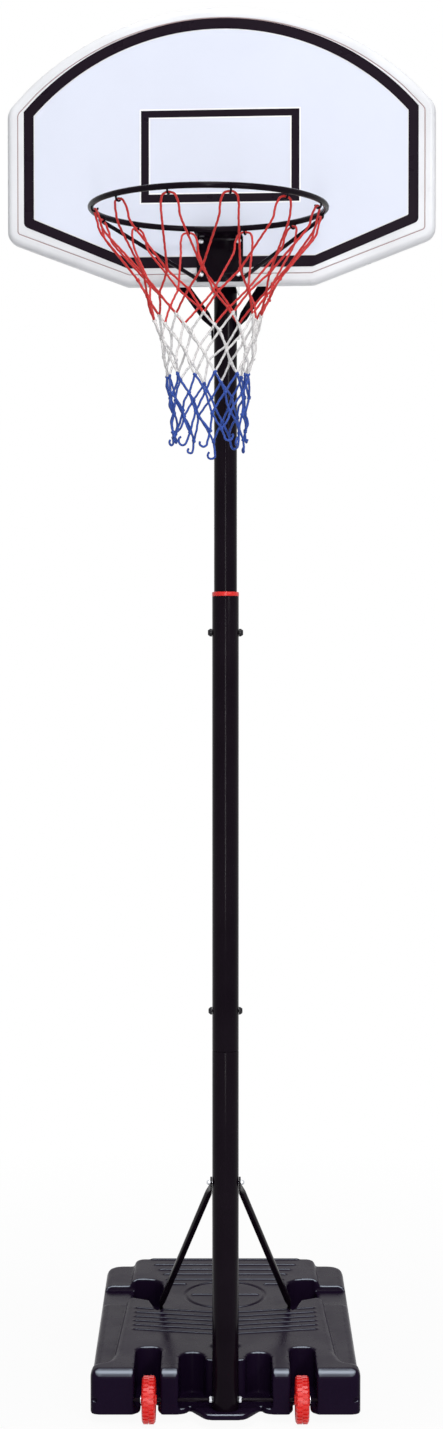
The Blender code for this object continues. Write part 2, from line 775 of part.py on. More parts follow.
def make_filler_cap():
    """The bung of the filling hole, with a grip bar across its top."""
    filler_y = POLE_Y + FILLER_BEHIND_POLE
    seat = filler_neck_top() + GAP
    rim = FILLER_RADIUS + CAP_RIM
    profile = [
        (0, -CAP_PLUG_LENGTH),
        (FILLER_RADIUS - CAP_CHAMFER, -CAP_PLUG_LENGTH),
        (FILLER_RADIUS - GAP, 0),
        (rim, 0),
        (rim, CAP_HEIGHT - CAP_CHAMFER),
        (rim - CAP_CHAMFER, CAP_HEIGHT),
        (0, CAP_HEIGHT),
    ]
    cap = turned("filler_cap", profile, black_plastic(), location=(0, filler_y, seat))
    long = rim - CAP_GRIP_INSET
    wide = CAP_GRIP_WIDTH / 2
    grip = prism(
        "filler_grip",
        filleted(rectangle(-long, -wide, long, wide, wide - GAP), 2),
        CAP_HEIGHT / 2,
        CAP_HEIGHT + CAP_GRIP_HEIGHT,
        black_plastic(),
        location=(0, filler_y, seat),
    )
    combine(cap, grip, "UNION")


def make_wheel(side):
    """A plastic wheel with tread blocks, a thinner web and a long hub."""
    bore = AXLE_RADIUS + GAP
    half = WHEEL_WIDTH / 2
    hub = WHEEL_HUB_LENGTH / 2
    web = WHEEL_WEB / 2
    inside = WHEEL_RADIUS - WHEEL_RIM
    lower = [
        (bore, -hub),
        (WHEEL_HUB_RADIUS, -hub),
        (WHEEL_HUB_RADIUS, -web),
        (inside, -web),
        (inside, -half),
        (WHEEL_RADIUS - TREAD_DEPTH, -half),
        (WHEEL_RADIUS, TREAD_EDGE - half, TREAD),
    ]
    upper = [(row[0], -row[1], *row[2:]) for row in reversed(lower)]
    turned(
        f"wheel_{side_name(side)}",
        lower + upper,
        red_plastic(),
        closed=True,
        location=(side * WHEEL_X, POLE_Y, AXLE_Z),
        rotation=ALONG_X,
    )


def make_axle():
    """The axle rod, the nuts beside the pole and the washers outside the wheels."""
    place = {"location": (0, POLE_Y, AXLE_Z)}
    end = NOTCH_OUTER + AXLE_SEAT
    rod("axle", AXLE_RADIUS, -end, end, black_paint(), steps=ROUND_STEPS, rotation=ALONG_X, **place)
    for side in (-1, 1):
        turn = ALONG_X if side > 0 else ALONG_MINUS_X
        nut(
            f"axle_nut_{side_name(side)}",
            zinc_steel(),
            radius=AXLE_RADIUS,
            flat=AXLE_NUT_FLAT,
            height=AXLE_NUT_HEIGHT,
            location=(side * (POLE_RADIUS + GAP), POLE_Y, AXLE_Z),
            rotation=turn,
        )
        start = WHEEL_X + WHEEL_HUB_LENGTH / 2 + GAP
        tube(
            f"wheel_washer_{side_name(side)}",
            WASHER_RADIUS,
            AXLE_RADIUS + GAP,
            0,
            WASHER_THICKNESS,
            zinc_steel(),
            steps=BOLT_STEPS * 2,
            location=(side * start, POLE_Y, AXLE_Z),
            rotation=turn,
        )


def cross_hole(name, target, height, radius, parent=None, y=POLE_Y):
    """Cut a bolt's hole right across a pole, along X."""
    reach = POLE_DIAMETER
    hole = bolt_hole(
        name, radius, -reach, reach, black_paint(), location=(0, y, height), rotation=ALONG_X, parent=parent
    )
    combine(target, hole)


def make_lower_pole():
    """The lower tube, whose neck is swaged down to sit in the middle tube."""
    neck_start = MIDDLE_POLE_BOTTOM - GAP
    top = MIDDLE_POLE_BOTTOM + SWAGE_LENGTH
    profile = [
        (POLE_RADIUS - POLE_WALL, POLE_FOOT_Z),
        (POLE_RADIUS, POLE_FOOT_Z),
        (POLE_RADIUS, neck_start - SWAGE_STEP),
        (NECK_RADIUS, neck_start),
        (NECK_RADIUS, top),
        (NECK_RADIUS - POLE_WALL, top),
        (NECK_RADIUS - POLE_WALL, neck_start - 2 * POLE_WALL),
        (POLE_RADIUS - POLE_WALL, neck_start - 4 * POLE_WALL),
    ]
    pole = turned("lower_pole", profile, black_paint(), closed=True, location=(0, POLE_Y, 0))
    cross_hole("lower_pole_axle_hole", pole, AXLE_Z, AXLE_RADIUS)
    cross_hole("lower_pole_strut_hole", pole, STRUT_BOLT_HEIGHT, BOLT_RADIUS)
    cross_hole("lower_pole_joint_hole", pole, JOINT_BOLT_Z, BOLT_RADIUS)


def make_middle_pole():
    """The middle tube, its guide sleeve with a collar, the joint bolt and the clamp screws."""
    inner = POLE_RADIUS - POLE_WALL
    pole = tube(
        "middle_pole",
        POLE_RADIUS,
        inner,
        MIDDLE_POLE_BOTTOM,
        MIDDLE_POLE_TOP,
        black_paint(),
        location=(0, POLE_Y, 0),
    )
    cross_hole("middle_pole_joint_hole", pole, JOINT_BOLT_Z, BOLT_RADIUS)
    cross_hole("middle_pole_clamp_hole", pole, CLAMP_Z, CLAMP_SHANK_RADIUS)
    guide = UPPER_POLE_RADIUS + GAP
    collar_low = MIDDLE_POLE_TOP + GAP
    collar_top = collar_low + COLLAR_HEIGHT
    profile = [
        (guide, MIDDLE_POLE_TOP - COLLAR_SLEEVE_LENGTH),
        (inner - GAP, MIDDLE_POLE_TOP - COLLAR_SLEEVE_LENGTH),
        (inner - GAP, collar_low),
        (POLE_RADIUS, collar_low),
        (POLE_RADIUS, collar_top - 2 * COLLAR_CHAMFER),
        (POLE_RADIUS - COLLAR_CHAMFER, collar_top),
        (guide, collar_top),
    ]
    sleeve = turned("collar_sleeve", profile, red_plastic(), closed=True, location=(0, POLE_Y, 0))
    cross_hole("collar_sleeve_clamp_hole", sleeve, CLAMP_Z, CLAMP_SHANK_RADIUS)
    across_bolt("joint", JOINT_BOLT_Z, POLE_RADIUS + GAP, black_plastic(), head=CLAMP_HEAD_RADIUS)


def across_bolt(tag, height, reach, surface, head=BOLT_HEAD_RADIUS, parent=None, y=POLE_Y):
    """A bolt along X across the pole with a dome nut; reach is where its head and nut sit."""
    depth = NUT_HEIGHT
    length = 2 * reach + depth - GAP
    bolt(
        f"{tag}_bolt",
        length,
        surface,
        head=head,
        height=depth + BOLT_OVERHANG,
        location=(-reach, y, height),
        rotation=ALONG_X,
        parent=parent,
    )
    cap_nut(
        f"{tag}_nut",
        surface,
        depth,
        head=head,
        location=(reach, y, height),
        rotation=ALONG_X,
        parent=parent,
    )


def make_clamp_screw(side):
    """A screw with a dome head that clamps the upper tube; it turns about its own axis."""
    tip = UPPER_POLE_RADIUS + GAP
    seat = POLE_RADIUS + GAP
    top = seat + CLAMP_HEAD_HEIGHT
    head = CLAMP_HEAD_RADIUS
    socket = CLAMP_SOCKET_RADIUS
    profile = [
        (0, tip),
        (CLAMP_SHANK_RADIUS, tip),
        (CLAMP_SHANK_RADIUS, seat),
        (head, seat),
        (head, seat + CLAMP_HEAD_HEIGHT * HEAD_EDGE_SHARE),
        (head * DOME_WIDTH_SHARE, seat + CLAMP_HEAD_HEIGHT * DOME_HEIGHT_SHARE),
        (socket, top, HEX),
        (socket, top - CLAMP_SOCKET_DEPTH, HEX),
        (0, top - CLAMP_SOCKET_DEPTH),
    ]
    turned(
        f"clamp_screw_{side_name(side)}",
        profile,
        black_plastic(),
        steps=BOLT_STEPS,
        location=(0, POLE_Y, CLAMP_Z),
        rotation=ALONG_X if side > 0 else ALONG_MINUS_X,
    )


def flat_station(centre, along, normal, width, thickness):
    """A flattened cross-section: along is the bar's direction, normal the flat's."""
    wide = normal.cross(along).normalized() * width / 2
    return (centre, wide, normal.normalized() * thickness / 2, 1.0)


def round_station(centre, along, normal, radius):
    """A round cross-section with the same reference normal as the flats."""
    wide = normal.cross(along).normalized() * radius
    thick = along.cross(wide).normalized() * radius
    return (centre, wide, thick, 0.0)


def make_strut(side):
    """A rear strut: a round tube with flattened ends, from the pole down to the tank's rear pocket."""
    top = Vector((side * STRUT_TAB_X, POLE_Y, STRUT_BOLT_HEIGHT))
    foot = Vector((side * STRUT_FOOT_X, STRUT_FOOT_Y, STRUT_FOOT_HEIGHT))
    flat = (Vector((0, foot.y, foot.z)) - Vector((0, top.y, top.z))).normalized()
    normal = Vector((1, 0, 0))
    end = STRUT_TAB_END
    upper_bend = top + flat * STRUT_TOP_TAB
    lower_bend = foot - flat * STRUT_FOOT_TAB
    along = (lower_bend - upper_bend).normalized()
    width = STRUT_TAB_WIDTH
    thickness = STRUT_TAB_THICKNESS
    radius = STRUT_DIAMETER / 2
    stations = [
        flat_station(top - flat * end, flat, normal, width * TAB_TIP_SHARE, thickness),
        flat_station(top - flat * end * TAB_SHOULDER_SHARE, flat, normal, width, thickness),
        flat_station(upper_bend, flat, normal, width, thickness),
        round_station(upper_bend + along * STRUT_TAPER, along, normal, radius),
        round_station(lower_bend - along * STRUT_TAPER, along, normal, radius),
        flat_station(lower_bend, flat, normal, width, thickness),
        flat_station(foot + flat * end * TAB_SHOULDER_SHARE, flat, normal, width, thickness),
        flat_station(foot + flat * end, flat, normal, width * TAB_TIP_SHARE, thickness),
    ]
    tag = side_name(side)
    strut = bar(f"strut_{tag}", stations, black_paint())
    for name, place in (("top", top), ("foot", foot)):
        hole = bolt_hole(
            f"strut_{name}_hole_{tag}",
            BOLT_RADIUS,
            -THROUGH,
            THROUGH,
            black_paint(),
            location=place,
            rotation=ALONG_X,
        )
        combine(strut, hole)
    bolt(
        f"strut_foot_screw_{tag}",
        SCREW_LENGTH - GAP,
        black_plastic(),
        location=(side * (REAR_POCKET_INNER + 2 * GAP + thickness), STRUT_FOOT_Y, STRUT_FOOT_HEIGHT),
        rotation=ALONG_MINUS_X if side > 0 else ALONG_X,
    )


def make_upper_pole(head):
    """The upper tube, which carries the head and slides in the middle tube, and its end plug."""
    inner = UPPER_POLE_RADIUS - POLE_WALL
    pole = tube(
        "upper_pole", UPPER_POLE_RADIUS, inner, UPPER_POLE_BOTTOM, UPPER_POLE_TOP, black_paint(), parent=head
    )
    cross_hole("upper_pole_brace_hole", pole, V_BRACE_BOLT_Z, BOLT_RADIUS, head, 0.0)
    for tag, height in bracket_bolt_heights():
        cross_hole(f"upper_pole_bracket_hole_{tag}", pole, height, BOLT_RADIUS, head, 0.0)
    low = UPPER_POLE_TOP + GAP
    profile = [
        (0, low - POLE_CAP_PLUG),
        (inner - GAP, low - POLE_CAP_PLUG),
        (inner - GAP, low),
        (UPPER_POLE_RADIUS, low),
        (UPPER_POLE_RADIUS - POLE_CAP_CHAMFER, low + POLE_CAP_HEIGHT),
        (0, low + POLE_CAP_HEIGHT),
    ]
    turned("pole_top_cap", profile, black_plastic(), parent=head)


def bracket_bolt_heights():
    """Names and heights of the two bolts that hold the bracket on the pole."""
    middle = BRACKET_BOTTOM + BRACKET_HEIGHT / 2
    return [("lower", middle - BRACKET_BOLT_SPACING / 2), ("upper", middle + BRACKET_BOLT_SPACING / 2)]


def ring_bolt_places():
    """Names and (x, z) places of the four bolts through plate, board and bracket."""
    top = RING_HEIGHT - RING_BOLT_BELOW_RING
    places = []
    for row, height in (("upper", top), ("lower", top - RING_BOLT_SPACING_Z)):
        for side in (-1, 1):
            places.append((f"{row}_{side_name(side)}", side * RING_BOLT_SPACING_X / 2, height))
    return places


def ring_bolt_holes(tag, target, head):
    """Cut the four holes of the ring's bolts, along Y."""
    for name, x, height in ring_bolt_places():
        hole = bolt_hole(
            f"{tag}_hole_{name}",
            BOLT_RADIUS,
            BOARD_FRONT - THROUGH,
            BOARD_BACK + THROUGH,
            black_paint(),
            location=(x, 0, height),
            rotation=ALONG_Y,
            parent=head,
        )
        combine(target, hole)


def make_bracket(head):
    """The steel bracket behind the board: a plate with two cheeks that clasp the pole."""
    front = BOARD_BACK + GAP
    back = front + BRACKET_SHEET
    inner = UPPER_POLE_RADIUS + GAP
    outer = inner + BRACKET_SHEET
    right = [
        (BRACKET_WIDTH / 2, front),
        (BRACKET_WIDTH / 2, back),
        (outer, back),
        (outer, BRACKET_TAIL),
        (inner, BRACKET_TAIL),
        (inner, back),
    ]
    outline = [Vector(point) for point in right] + [Vector((-x, y)) for x, y in reversed(right)]
    bracket = prism(
        "head_bracket", outline, BRACKET_BOTTOM, BRACKET_BOTTOM + BRACKET_HEIGHT, black_paint(), parent=head
    )
    ring_bolt_holes("head_bracket", bracket, head)
    for tag, height in bracket_bolt_heights():
        cross_hole(f"head_bracket_hole_{tag}", bracket, height, BOLT_RADIUS, head, 0.0)
        across_bolt(f"bracket_{tag}", height, outer + GAP, zinc_steel(), parent=head, y=0.0)


def board_outline(inset):
    """The board's outline from its own bottom middle, drawn in by inset."""
    half = BOARD_WIDTH / 2 - inset
    arc = BOARD_ARC_RADIUS - inset
    arc_centre = BOARD_HEIGHT - BOARD_ARC_RADIUS
    slant = math.atan2(BOARD_SIDE_BOTTOM, (BOARD_WIDTH - BOARD_FLAT_WIDTH) / 2)
    side_low = BOARD_SIDE_BOTTOM - inset * (math.tan(slant) - 1 / math.cos(slant))
    flat_half = BOARD_FLAT_WIDTH / 2 - inset * math.tan(slant / 2)
    corner = max(BOARD_CORNER - inset, LEAST_CORNER)
    upper_corner = max(BOARD_UPPER_CORNER - inset, LEAST_CORNER)
    side_high = arc_centre + math.sqrt(arc * arc - half * half)
    corners = [
        (-half, side_high, upper_corner),
        (-half, side_low, corner),
        (-flat_half, inset, corner),
        (flat_half, inset, corner),
        (half, side_low, corner),
        (half, side_high, upper_corner),
    ]
    first = math.atan2(side_high - arc_centre, half)
    for k in range(1, BOARD_ARC_STEPS):
        angle = first + (math.pi - 2 * first) * k / BOARD_ARC_STEPS
        corners.append((arc * math.cos(angle), arc_centre + arc * math.sin(angle), 0))
    return filleted(corners)


def clipped(polygon, outline):
    """The part of a convex polygon that lies inside a convex outline, both anticlockwise."""
    for i, start in enumerate(outline):
        edge = outline[(i + 1) % len(outline)] - start
        kept = []
        for k, point in enumerate(polygon):
            before = polygon[k - 1]
            side_before = edge.cross(before - start)
            side_here = edge.cross(point - start)
            if side_before * side_here < 0:
                share = side_before / (side_before - side_here)
                kept.append(before + (point - before) * share)
            if side_here >= 0:
                kept.append(point)
        polygon = kept
        if len(polygon) < 3:
            return []
    return polygon


def area(polygon):
    return sum(a.cross(b) for a, b in zip(polygon, polygon[1:] + polygon[:1])) / 2


def board_recesses():
    """The cells between the ribs on the board's back; the cells behind the ring stay solid."""
    rim = board_outline(BOARD_RIM)
    columns = math.ceil(BOARD_WIDTH / BOARD_COLUMN / 2)
    rows = math.ceil(BOARD_HEIGHT / BOARD_ROW)
    cells = []
    for column in range(-columns, columns + 1):
        for row in range(rows):
            if column == 0 and row == 0:
                continue
            x = (column - 0.5) * BOARD_COLUMN + BOARD_RIB / 2
            z = BOARD_RIM + row * BOARD_ROW + (BOARD_RIB / 2 if row else 0)
            far_x = x + BOARD_COLUMN - BOARD_RIB
            far_z = BOARD_RIM + (row + 1) * BOARD_ROW - BOARD_RIB / 2
            square = [Vector((x, z)), Vector((far_x, z)), Vector((far_x, far_z)), Vector((x, far_z))]
            cell = clipped(square, rim)
            if cell and area(cell) > BOARD_COLUMN * BOARD_ROW * BOARD_LEAST_CELL:
                cells.append(cell)
    return cells


def make_board(head):
    """The backboard: a ribbed plastic panel with a rounded front edge."""
    bm = prism_bmesh(board_outline(0.0), 0.0, BOARD_THICKNESS)
    bm.faces.ensure_lookup_table()
    front = bm.faces[1]
    bmesh.ops.recalc_face_normals(bm, faces=bm.faces)
    bmesh.ops.bevel(
        bm,
        geom=list(front.edges),
        offset=BOARD_EDGE,
        segments=BOARD_EDGE_STEPS,
        profile=0.5,
        affect="EDGES",
    )
    place = {"location": (0, BOARD_BACK, BOARD_BOTTOM), "rotation": UPRIGHT, "parent": head}
    board = finish("backboard", bm, board_plastic(), **place)
    recess = bmesh.new()
    for cell in board_recesses():
        prism_bmesh(cell, -THROUGH, BOARD_THICKNESS - BOARD_SHEET, recess)
    combine(board, finish("board_recesses", recess, board_plastic(), **place))
    ring_bolt_holes("backboard", board, head)
    for side in (-1, 1):
        hole = bolt_hole(
            f"brace_screw_hole_{side_name(side)}",
            BRACE_SCREW_RADIUS,
            -SCREW_LENGTH,
            THROUGH,
            board_plastic(),
            location=(side * V_BRACE_TOP_X, BOARD_BACK, V_BRACE_TOP_Z),
            rotation=ALONG_Y,
            parent=head,
        )
        combine(board, hole)


def make_v_brace(side, head):
    """A flat bar from the side of the pole up to the back of the board."""
    low = Vector((side * (UPPER_POLE_RADIUS + GAP + V_BRACE_THICKNESS / 2), 0, V_BRACE_BOLT_Z))
    high = Vector((side * V_BRACE_TOP_X, BOARD_BACK + GAP + V_BRACE_THICKNESS / 2, V_BRACE_TOP_Z))
    sideways = Vector((side, 0, 0))
    rearward = Vector((0, 1, 0))
    span = high - low
    lower_along = Vector((0, span.y, span.z)).normalized()
    upper_along = Vector((span.x, 0, span.z)).normalized()
    end = V_BRACE_TAB_END
    lower_bend = low + lower_along * V_BRACE_TAB
    upper_bend = high - upper_along * V_BRACE_TAB
    along = (upper_bend - lower_bend).normalized()
    middle_normal = (sideways + rearward).normalized()
    width = V_BRACE_WIDTH
    thickness = V_BRACE_THICKNESS
    stations = [
        flat_station(low - lower_along * end, lower_along, sideways, width * TAB_TIP_SHARE, thickness),
        flat_station(low - lower_along * end * TAB_SHOULDER_SHARE, lower_along, sideways, width, thickness),
        flat_station(lower_bend, lower_along, sideways, width, thickness),
        flat_station(lower_bend + along * width, along, middle_normal, width, thickness),
        flat_station(upper_bend - along * width, along, middle_normal, width, thickness),
        flat_station(upper_bend, upper_along, rearward, width, thickness),
        flat_station(high + upper_along * end * TAB_SHOULDER_SHARE, upper_along, rearward, width, thickness),
        flat_station(high + upper_along * end, upper_along, rearward, width * TAB_TIP_SHARE, thickness),
    ]
    tag = side_name(side)
    brace = bar(f"v_brace_{tag}", stations, black_paint(), parent=head)
    low_hole = bolt_hole(
        f"v_brace_low_hole_{tag}",
        BOLT_RADIUS,
        -THROUGH,
        THROUGH,
        black_paint(),
        location=low,
        rotation=ALONG_X,
        parent=head,
    )
    combine(brace, low_hole)
    high_hole = bolt_hole(
        f"v_brace_high_hole_{tag}",
        BRACE_SCREW_RADIUS,
        -THROUGH,
        THROUGH,
        black_paint(),
        location=high,
        rotation=ALONG_Y,
        parent=head,
    )
    combine(brace, high_hole)
    seat = BOARD_BACK + 2 * GAP + thickness
    bolt(
        f"v_brace_screw_{tag}",
        SCREW_LENGTH,
        zinc_steel(),
        radius=BRACE_SCREW_RADIUS,
        location=(high.x, seat, high.z),
        rotation=UPRIGHT,
        parent=head,
    )


def make_ring_plate(head):
    """The angle plate that carries the ring: an upright face on the board and a shelf out to the ring."""
    back = BOARD_FRONT - GAP
    face = back - PLATE_THICKNESS
    shelf = RING_CENTRE + RING_RADIUS
    low = PLATE_TOP - PLATE_HEIGHT
    outline = [
        (back, low),
        (back, PLATE_TOP),
        (shelf, PLATE_TOP),
        (shelf, PLATE_TOP - PLATE_THICKNESS),
        (face, PLATE_TOP - PLATE_THICKNESS),
        (face, low),
    ]
    half = PLATE_WIDTH / 2
    bm = prism_bmesh([Vector(point) for point in outline], -half, half)
    upright = Matrix(((0, 0, 1, 0), (1, 0, 0, 0), (0, 1, 0, 0), (0, 0, 0, 1)))
    bmesh.ops.transform(bm, matrix=upright, verts=bm.verts)
    plate = finish("ring_plate", bm, black_paint(), parent=head)
    clear = rod(
        "ring_plate_clearance",
        RING_RADIUS + RING_ROD_RADIUS + GAP,
        RING_HEIGHT - THROUGH,
        RING_HEIGHT + THROUGH,
        black_paint(),
        steps=ROUND_STEPS * 4,
        location=(0, RING_CENTRE, 0),
        parent=head,
    )
    combine(plate, clear)
    ring_bolt_holes("ring_plate", plate, head)
    for name, x, height in ring_bolt_places():
        nut_face = BOARD_BACK + 2 * GAP + BRACKET_SHEET
        head_face = face - GAP
        bolt(
            f"ring_bolt_{name}",
            nut_face - head_face + NUT_HEIGHT + BOLT_OVERHANG,
            zinc_steel(),
            location=(x, head_face, height),
            rotation=ALONG_Y,
            parent=head,
        )
        nut(f"ring_nut_{name}", zinc_steel(), location=(x, nut_face, height), rotation=ALONG_Y, parent=head)


def flat_curve_tube(bm, points, across, radius, sides):
    """Add a tube through points that all lie in the plane whose normal is across."""
    rings = []
    for i, point in enumerate(points):
        after = points[min(i + 1, len(points) - 1)]
        before = points[max(i - 1, 0)]
        up = across.cross(after - before).normalized()
        ring = []
        for k in range(sides):
            angle = math.tau * k / sides
            ring.append(bm.verts.new(point + (across * math.cos(angle) + up * math.sin(angle)) * radius))
        rings.append(ring)
    for here, beyond in zip(rings, rings[1:]):
        for k in range(sides):
            after = (k + 1) % sides
            bm.faces.new((here[k], here[after], beyond[after], beyond[k]))
    bm.faces.new(rings[0])
    bm.faces.new(rings[-1])


def hook_angles():
    """The angles of the net hooks about the ring's centre, with none over the plate's middle."""
    step = math.tau / HOOK_COUNT
    return [step * (k + 0.5) for k in range(HOOK_COUNT)]


def make_ring(head):
    """The steel ring with its net hooks, and the two rods that brace it against the plate."""
    profile = []
    for k in range(RING_SIDES):
        angle = math.tau * (k + 0.5) / RING_SIDES
        profile.append((RING_RADIUS + RING_ROD_RADIUS * math.cos(angle), RING_ROD_RADIUS * math.sin(angle)))
    place = {"location": (0, RING_CENTRE, RING_HEIGHT), "parent": head}
    ring = turned("ring", profile, black_paint(), closed=True, steps=ROUND_STEPS * 2, **place)
    hooks = bmesh.new()
    for angle in hook_angles():
        outward = Vector((math.cos(angle), math.sin(angle), 0))
        beside = Vector((-math.sin(angle), math.cos(angle), 0))
        down = Vector((0, 0, -1))
        points = [outward * RING_RADIUS + down * HOOK_ROOT]
        for k in range(HOOK_BENDS + 1):
            bend = math.pi * k / HOOK_BENDS
            reach = HOOK_CIRCLE + HOOK_RADIUS * math.cos(bend)
            points.append(outward * reach + down * (HOOK_DROP + HOOK_RADIUS * math.sin(bend)))
        flat_curve_tube(hooks, points, beside, HOOK_WIRE_RADIUS, HOOK_SIDES)
    combine(ring, finish("ring_hooks", hooks, black_paint(), **place), "UNION")
    for side in (-1, 1):
        below = RING_HEIGHT - RING_ROD_RADIUS - RING_BRACE_RADIUS - GAP
        angle = RING_BRACE_ANGLE
        start = Vector(
            (side * RING_RADIUS * math.cos(angle), RING_CENTRE + RING_RADIUS * math.sin(angle), below)
        )
        plate_face = BOARD_FRONT - 2 * GAP - PLATE_THICKNESS
        end = Vector((side * (PLATE_WIDTH / 2 - RING_BRACE_RADIUS), plate_face, PLATE_TOP - PLATE_HEIGHT))
        end.z += RING_BRACE_RADIUS
        along = (end - start).normalized()
        stations = [
            round_station(start, along, Vector((0, 0, 1)), RING_BRACE_RADIUS),
            (
                end,
                Vector((-RING_BRACE_END_WIDTH, 0, 0)),
                Vector((0, 0, RING_BRACE_RADIUS)),
                0.0,
            ),
        ]
        bar(f"ring_brace_{side_name(side)}", stations, black_paint(), parent=head)


def net_radius(drop):
    """The net's radius at a drop below the hooks: it narrows fast and then hangs nearly straight."""
    share = max(1 - drop / NET_TAPER_LENGTH, 0.0) ** NET_TAPER_POWER
    return NET_NECK_RADIUS + (HOOK_CIRCLE - NET_NECK_RADIUS) * share


def make_net(head):
    """The cord net as a lattice of diamonds that hangs on the hooks."""
    drops = [0.0] + [NET_FIRST_LEG + NET_ROW * row for row in range(NET_ROWS)]
    hook_low = HOOK_DROP + HOOK_RADIUS + HOOK_WIRE_RADIUS
    bm = bmesh.new()
    rows = []
    for row, drop in enumerate(drops):
        radius = net_radius(drop)
        verts = []
        for angle in hook_angles():
            angle += (row % 2) * math.pi / HOOK_COUNT
            verts.append(bm.verts.new((radius * math.cos(angle), radius * math.sin(angle), -drop)))
        rows.append(verts)
    for row in range(len(rows) - 2):
        for k in range(HOOK_COUNT):
            shift = row % 2
            left = rows[row + 1][(k - 1 + shift) % HOOK_COUNT]
            right = rows[row + 1][(k + shift) % HOOK_COUNT]
            bm.faces.new((rows[row][k], left, rows[row + 2][k], right))
    height = RING_HEIGHT - hook_low - NET_SEAT
    net = finish("net", bm, net_cord(), location=(0, RING_CENTRE, height), parent=head)
    lattice = net.modifiers.new("cords", "WIREFRAME")
    lattice.thickness = NET_CORD
    lattice.use_even_offset = False
    lattice.use_boundary = True


def make_head():
    """The head: everything that the upper tube carries, turned together about the pole."""
    head = bpy.data.objects.new("head_turn", None)
    bpy.context.collection.objects.link(head)
    head.location = (0, POLE_Y, 0)
    head.rotation_euler = (0, 0, HEAD_TURN)
    make_upper_pole(head)
    make_bracket(head)
    make_board(head)
    for side in (-1, 1):
        make_v_brace(side, head)
    reach = UPPER_POLE_RADIUS + 2 * GAP + V_BRACE_THICKNESS
    across_bolt("v_brace", V_BRACE_BOLT_Z, reach, zinc_steel(), parent=head, y=0.0)
    make_ring_plate(head)
    make_ring(head)
    make_net(head)


def main():
    """Model the stand from the floor up."""
    clear_scene()
    make_tank()
    make_ballast()
    make_filler_cap()
    make_axle()
    make_lower_pole()
    make_middle_pole()
    across_bolt("strut", STRUT_BOLT_HEIGHT, POLE_RADIUS + 2 * GAP + STRUT_TAB_THICKNESS, zinc_steel())
    for side in (-1, 1):
        make_wheel(side)
        make_strut(side)
        make_clamp_screw(side)
    make_head()
    bpy.context.view_layer.update()


main()
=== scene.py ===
"""Looks of the portable basketball stand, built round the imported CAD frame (metres, +Z up, players at -Y)."""

import math
import random

import bmesh
import bpy
from mathutils import Matrix, Vector


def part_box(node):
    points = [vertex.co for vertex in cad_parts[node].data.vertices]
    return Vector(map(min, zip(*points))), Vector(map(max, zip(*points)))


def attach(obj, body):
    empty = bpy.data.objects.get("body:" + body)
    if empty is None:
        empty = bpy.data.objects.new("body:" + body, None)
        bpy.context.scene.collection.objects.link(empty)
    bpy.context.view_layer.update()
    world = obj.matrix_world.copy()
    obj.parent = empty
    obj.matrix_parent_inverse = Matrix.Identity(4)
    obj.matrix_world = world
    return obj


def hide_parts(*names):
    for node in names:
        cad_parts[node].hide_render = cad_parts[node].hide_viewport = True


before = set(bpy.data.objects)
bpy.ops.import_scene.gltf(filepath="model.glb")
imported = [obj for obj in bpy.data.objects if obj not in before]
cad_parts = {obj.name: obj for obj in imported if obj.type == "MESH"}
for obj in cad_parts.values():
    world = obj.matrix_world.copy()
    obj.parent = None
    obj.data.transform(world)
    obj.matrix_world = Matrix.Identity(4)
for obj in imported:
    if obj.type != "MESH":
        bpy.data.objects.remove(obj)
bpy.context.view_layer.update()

# Sizes that this file shares with the frame, in metres
POLE_Y = -0.389
HEAD_TURN = math.radians(-4.2)
RING_HEIGHT = 2.564
RING_RADIUS = 0.231
RING_ROD = 0.006
RING_CENTRE = -0.470
BOARD_FRONT = -0.161
BOARD_BACK = -0.131
HOOK_COUNT = 12
FRONT_Y = -0.395
POLE_RADIUS = 0.029
UPPER_POLE_RADIUS = 0.025
POLE_WALL = 0.0012
GAP = 0.0003
WHEEL_X = 0.168
WHEEL_HUB = 0.017
AXLE_RADIUS = 0.004
WHEEL_RADIUS = 0.052
AXLE_Z = 0.0525
CLAMP_Z = 1.735
JOINT_BOLT_Z = 0.910
STRUT_BOLT_Z = 0.533
V_BRACE_BOLT_Z = 2.383
BRACKET_BOLT_Z = {"lower": 2.492, "upper": 2.552}
STEEL_SHEET = 0.003
PLATE_BOLT_X = 0.0393
PLATE_BOLT_DROP = {"upper": 0.0115, "lower": 0.0805}


def at(x, y, z):
    """The matrix of a place."""
    return Matrix.Translation((x, y, z))


POLE = at(0, POLE_Y, 0)
HEAD = POLE @ Matrix.Rotation(HEAD_TURN, 4, "Z")
RING = HEAD @ at(0, RING_CENTRE, RING_HEIGHT)
TO_RIGHT = Matrix.Rotation(math.pi / 2, 4, "Y")
TO_LEFT = Matrix.Rotation(-math.pi / 2, 4, "Y")
TO_BACK = Matrix.Rotation(-math.pi / 2, 4, "X")
SIDES = ((-1, "left", TO_LEFT), (1, "right", TO_RIGHT))


# Node materials


LIGHTER_LIFT = 0.02
# Slope and convexity ranges of the painted edge highlight
HIGHLIGHT_SLOPE = (0.88, 0.99)
HIGHLIGHT_CONVEX = (0.497, 0.507)


def added(tree, kind, output, sockets=(), **settings):
    """An output of a new node: settings are its modes, and sockets its inputs' values or sources."""
    node = tree.nodes.new(f"ShaderNode{kind}")
    for key, value in settings.items():
        setattr(node, key, value)
    for key, value in dict(sockets).items():
        if isinstance(value, bpy.types.NodeSocket):
            tree.links.new(value, node.inputs[key])
        else:
            node.inputs[key].default_value = value
    return node.outputs[output]


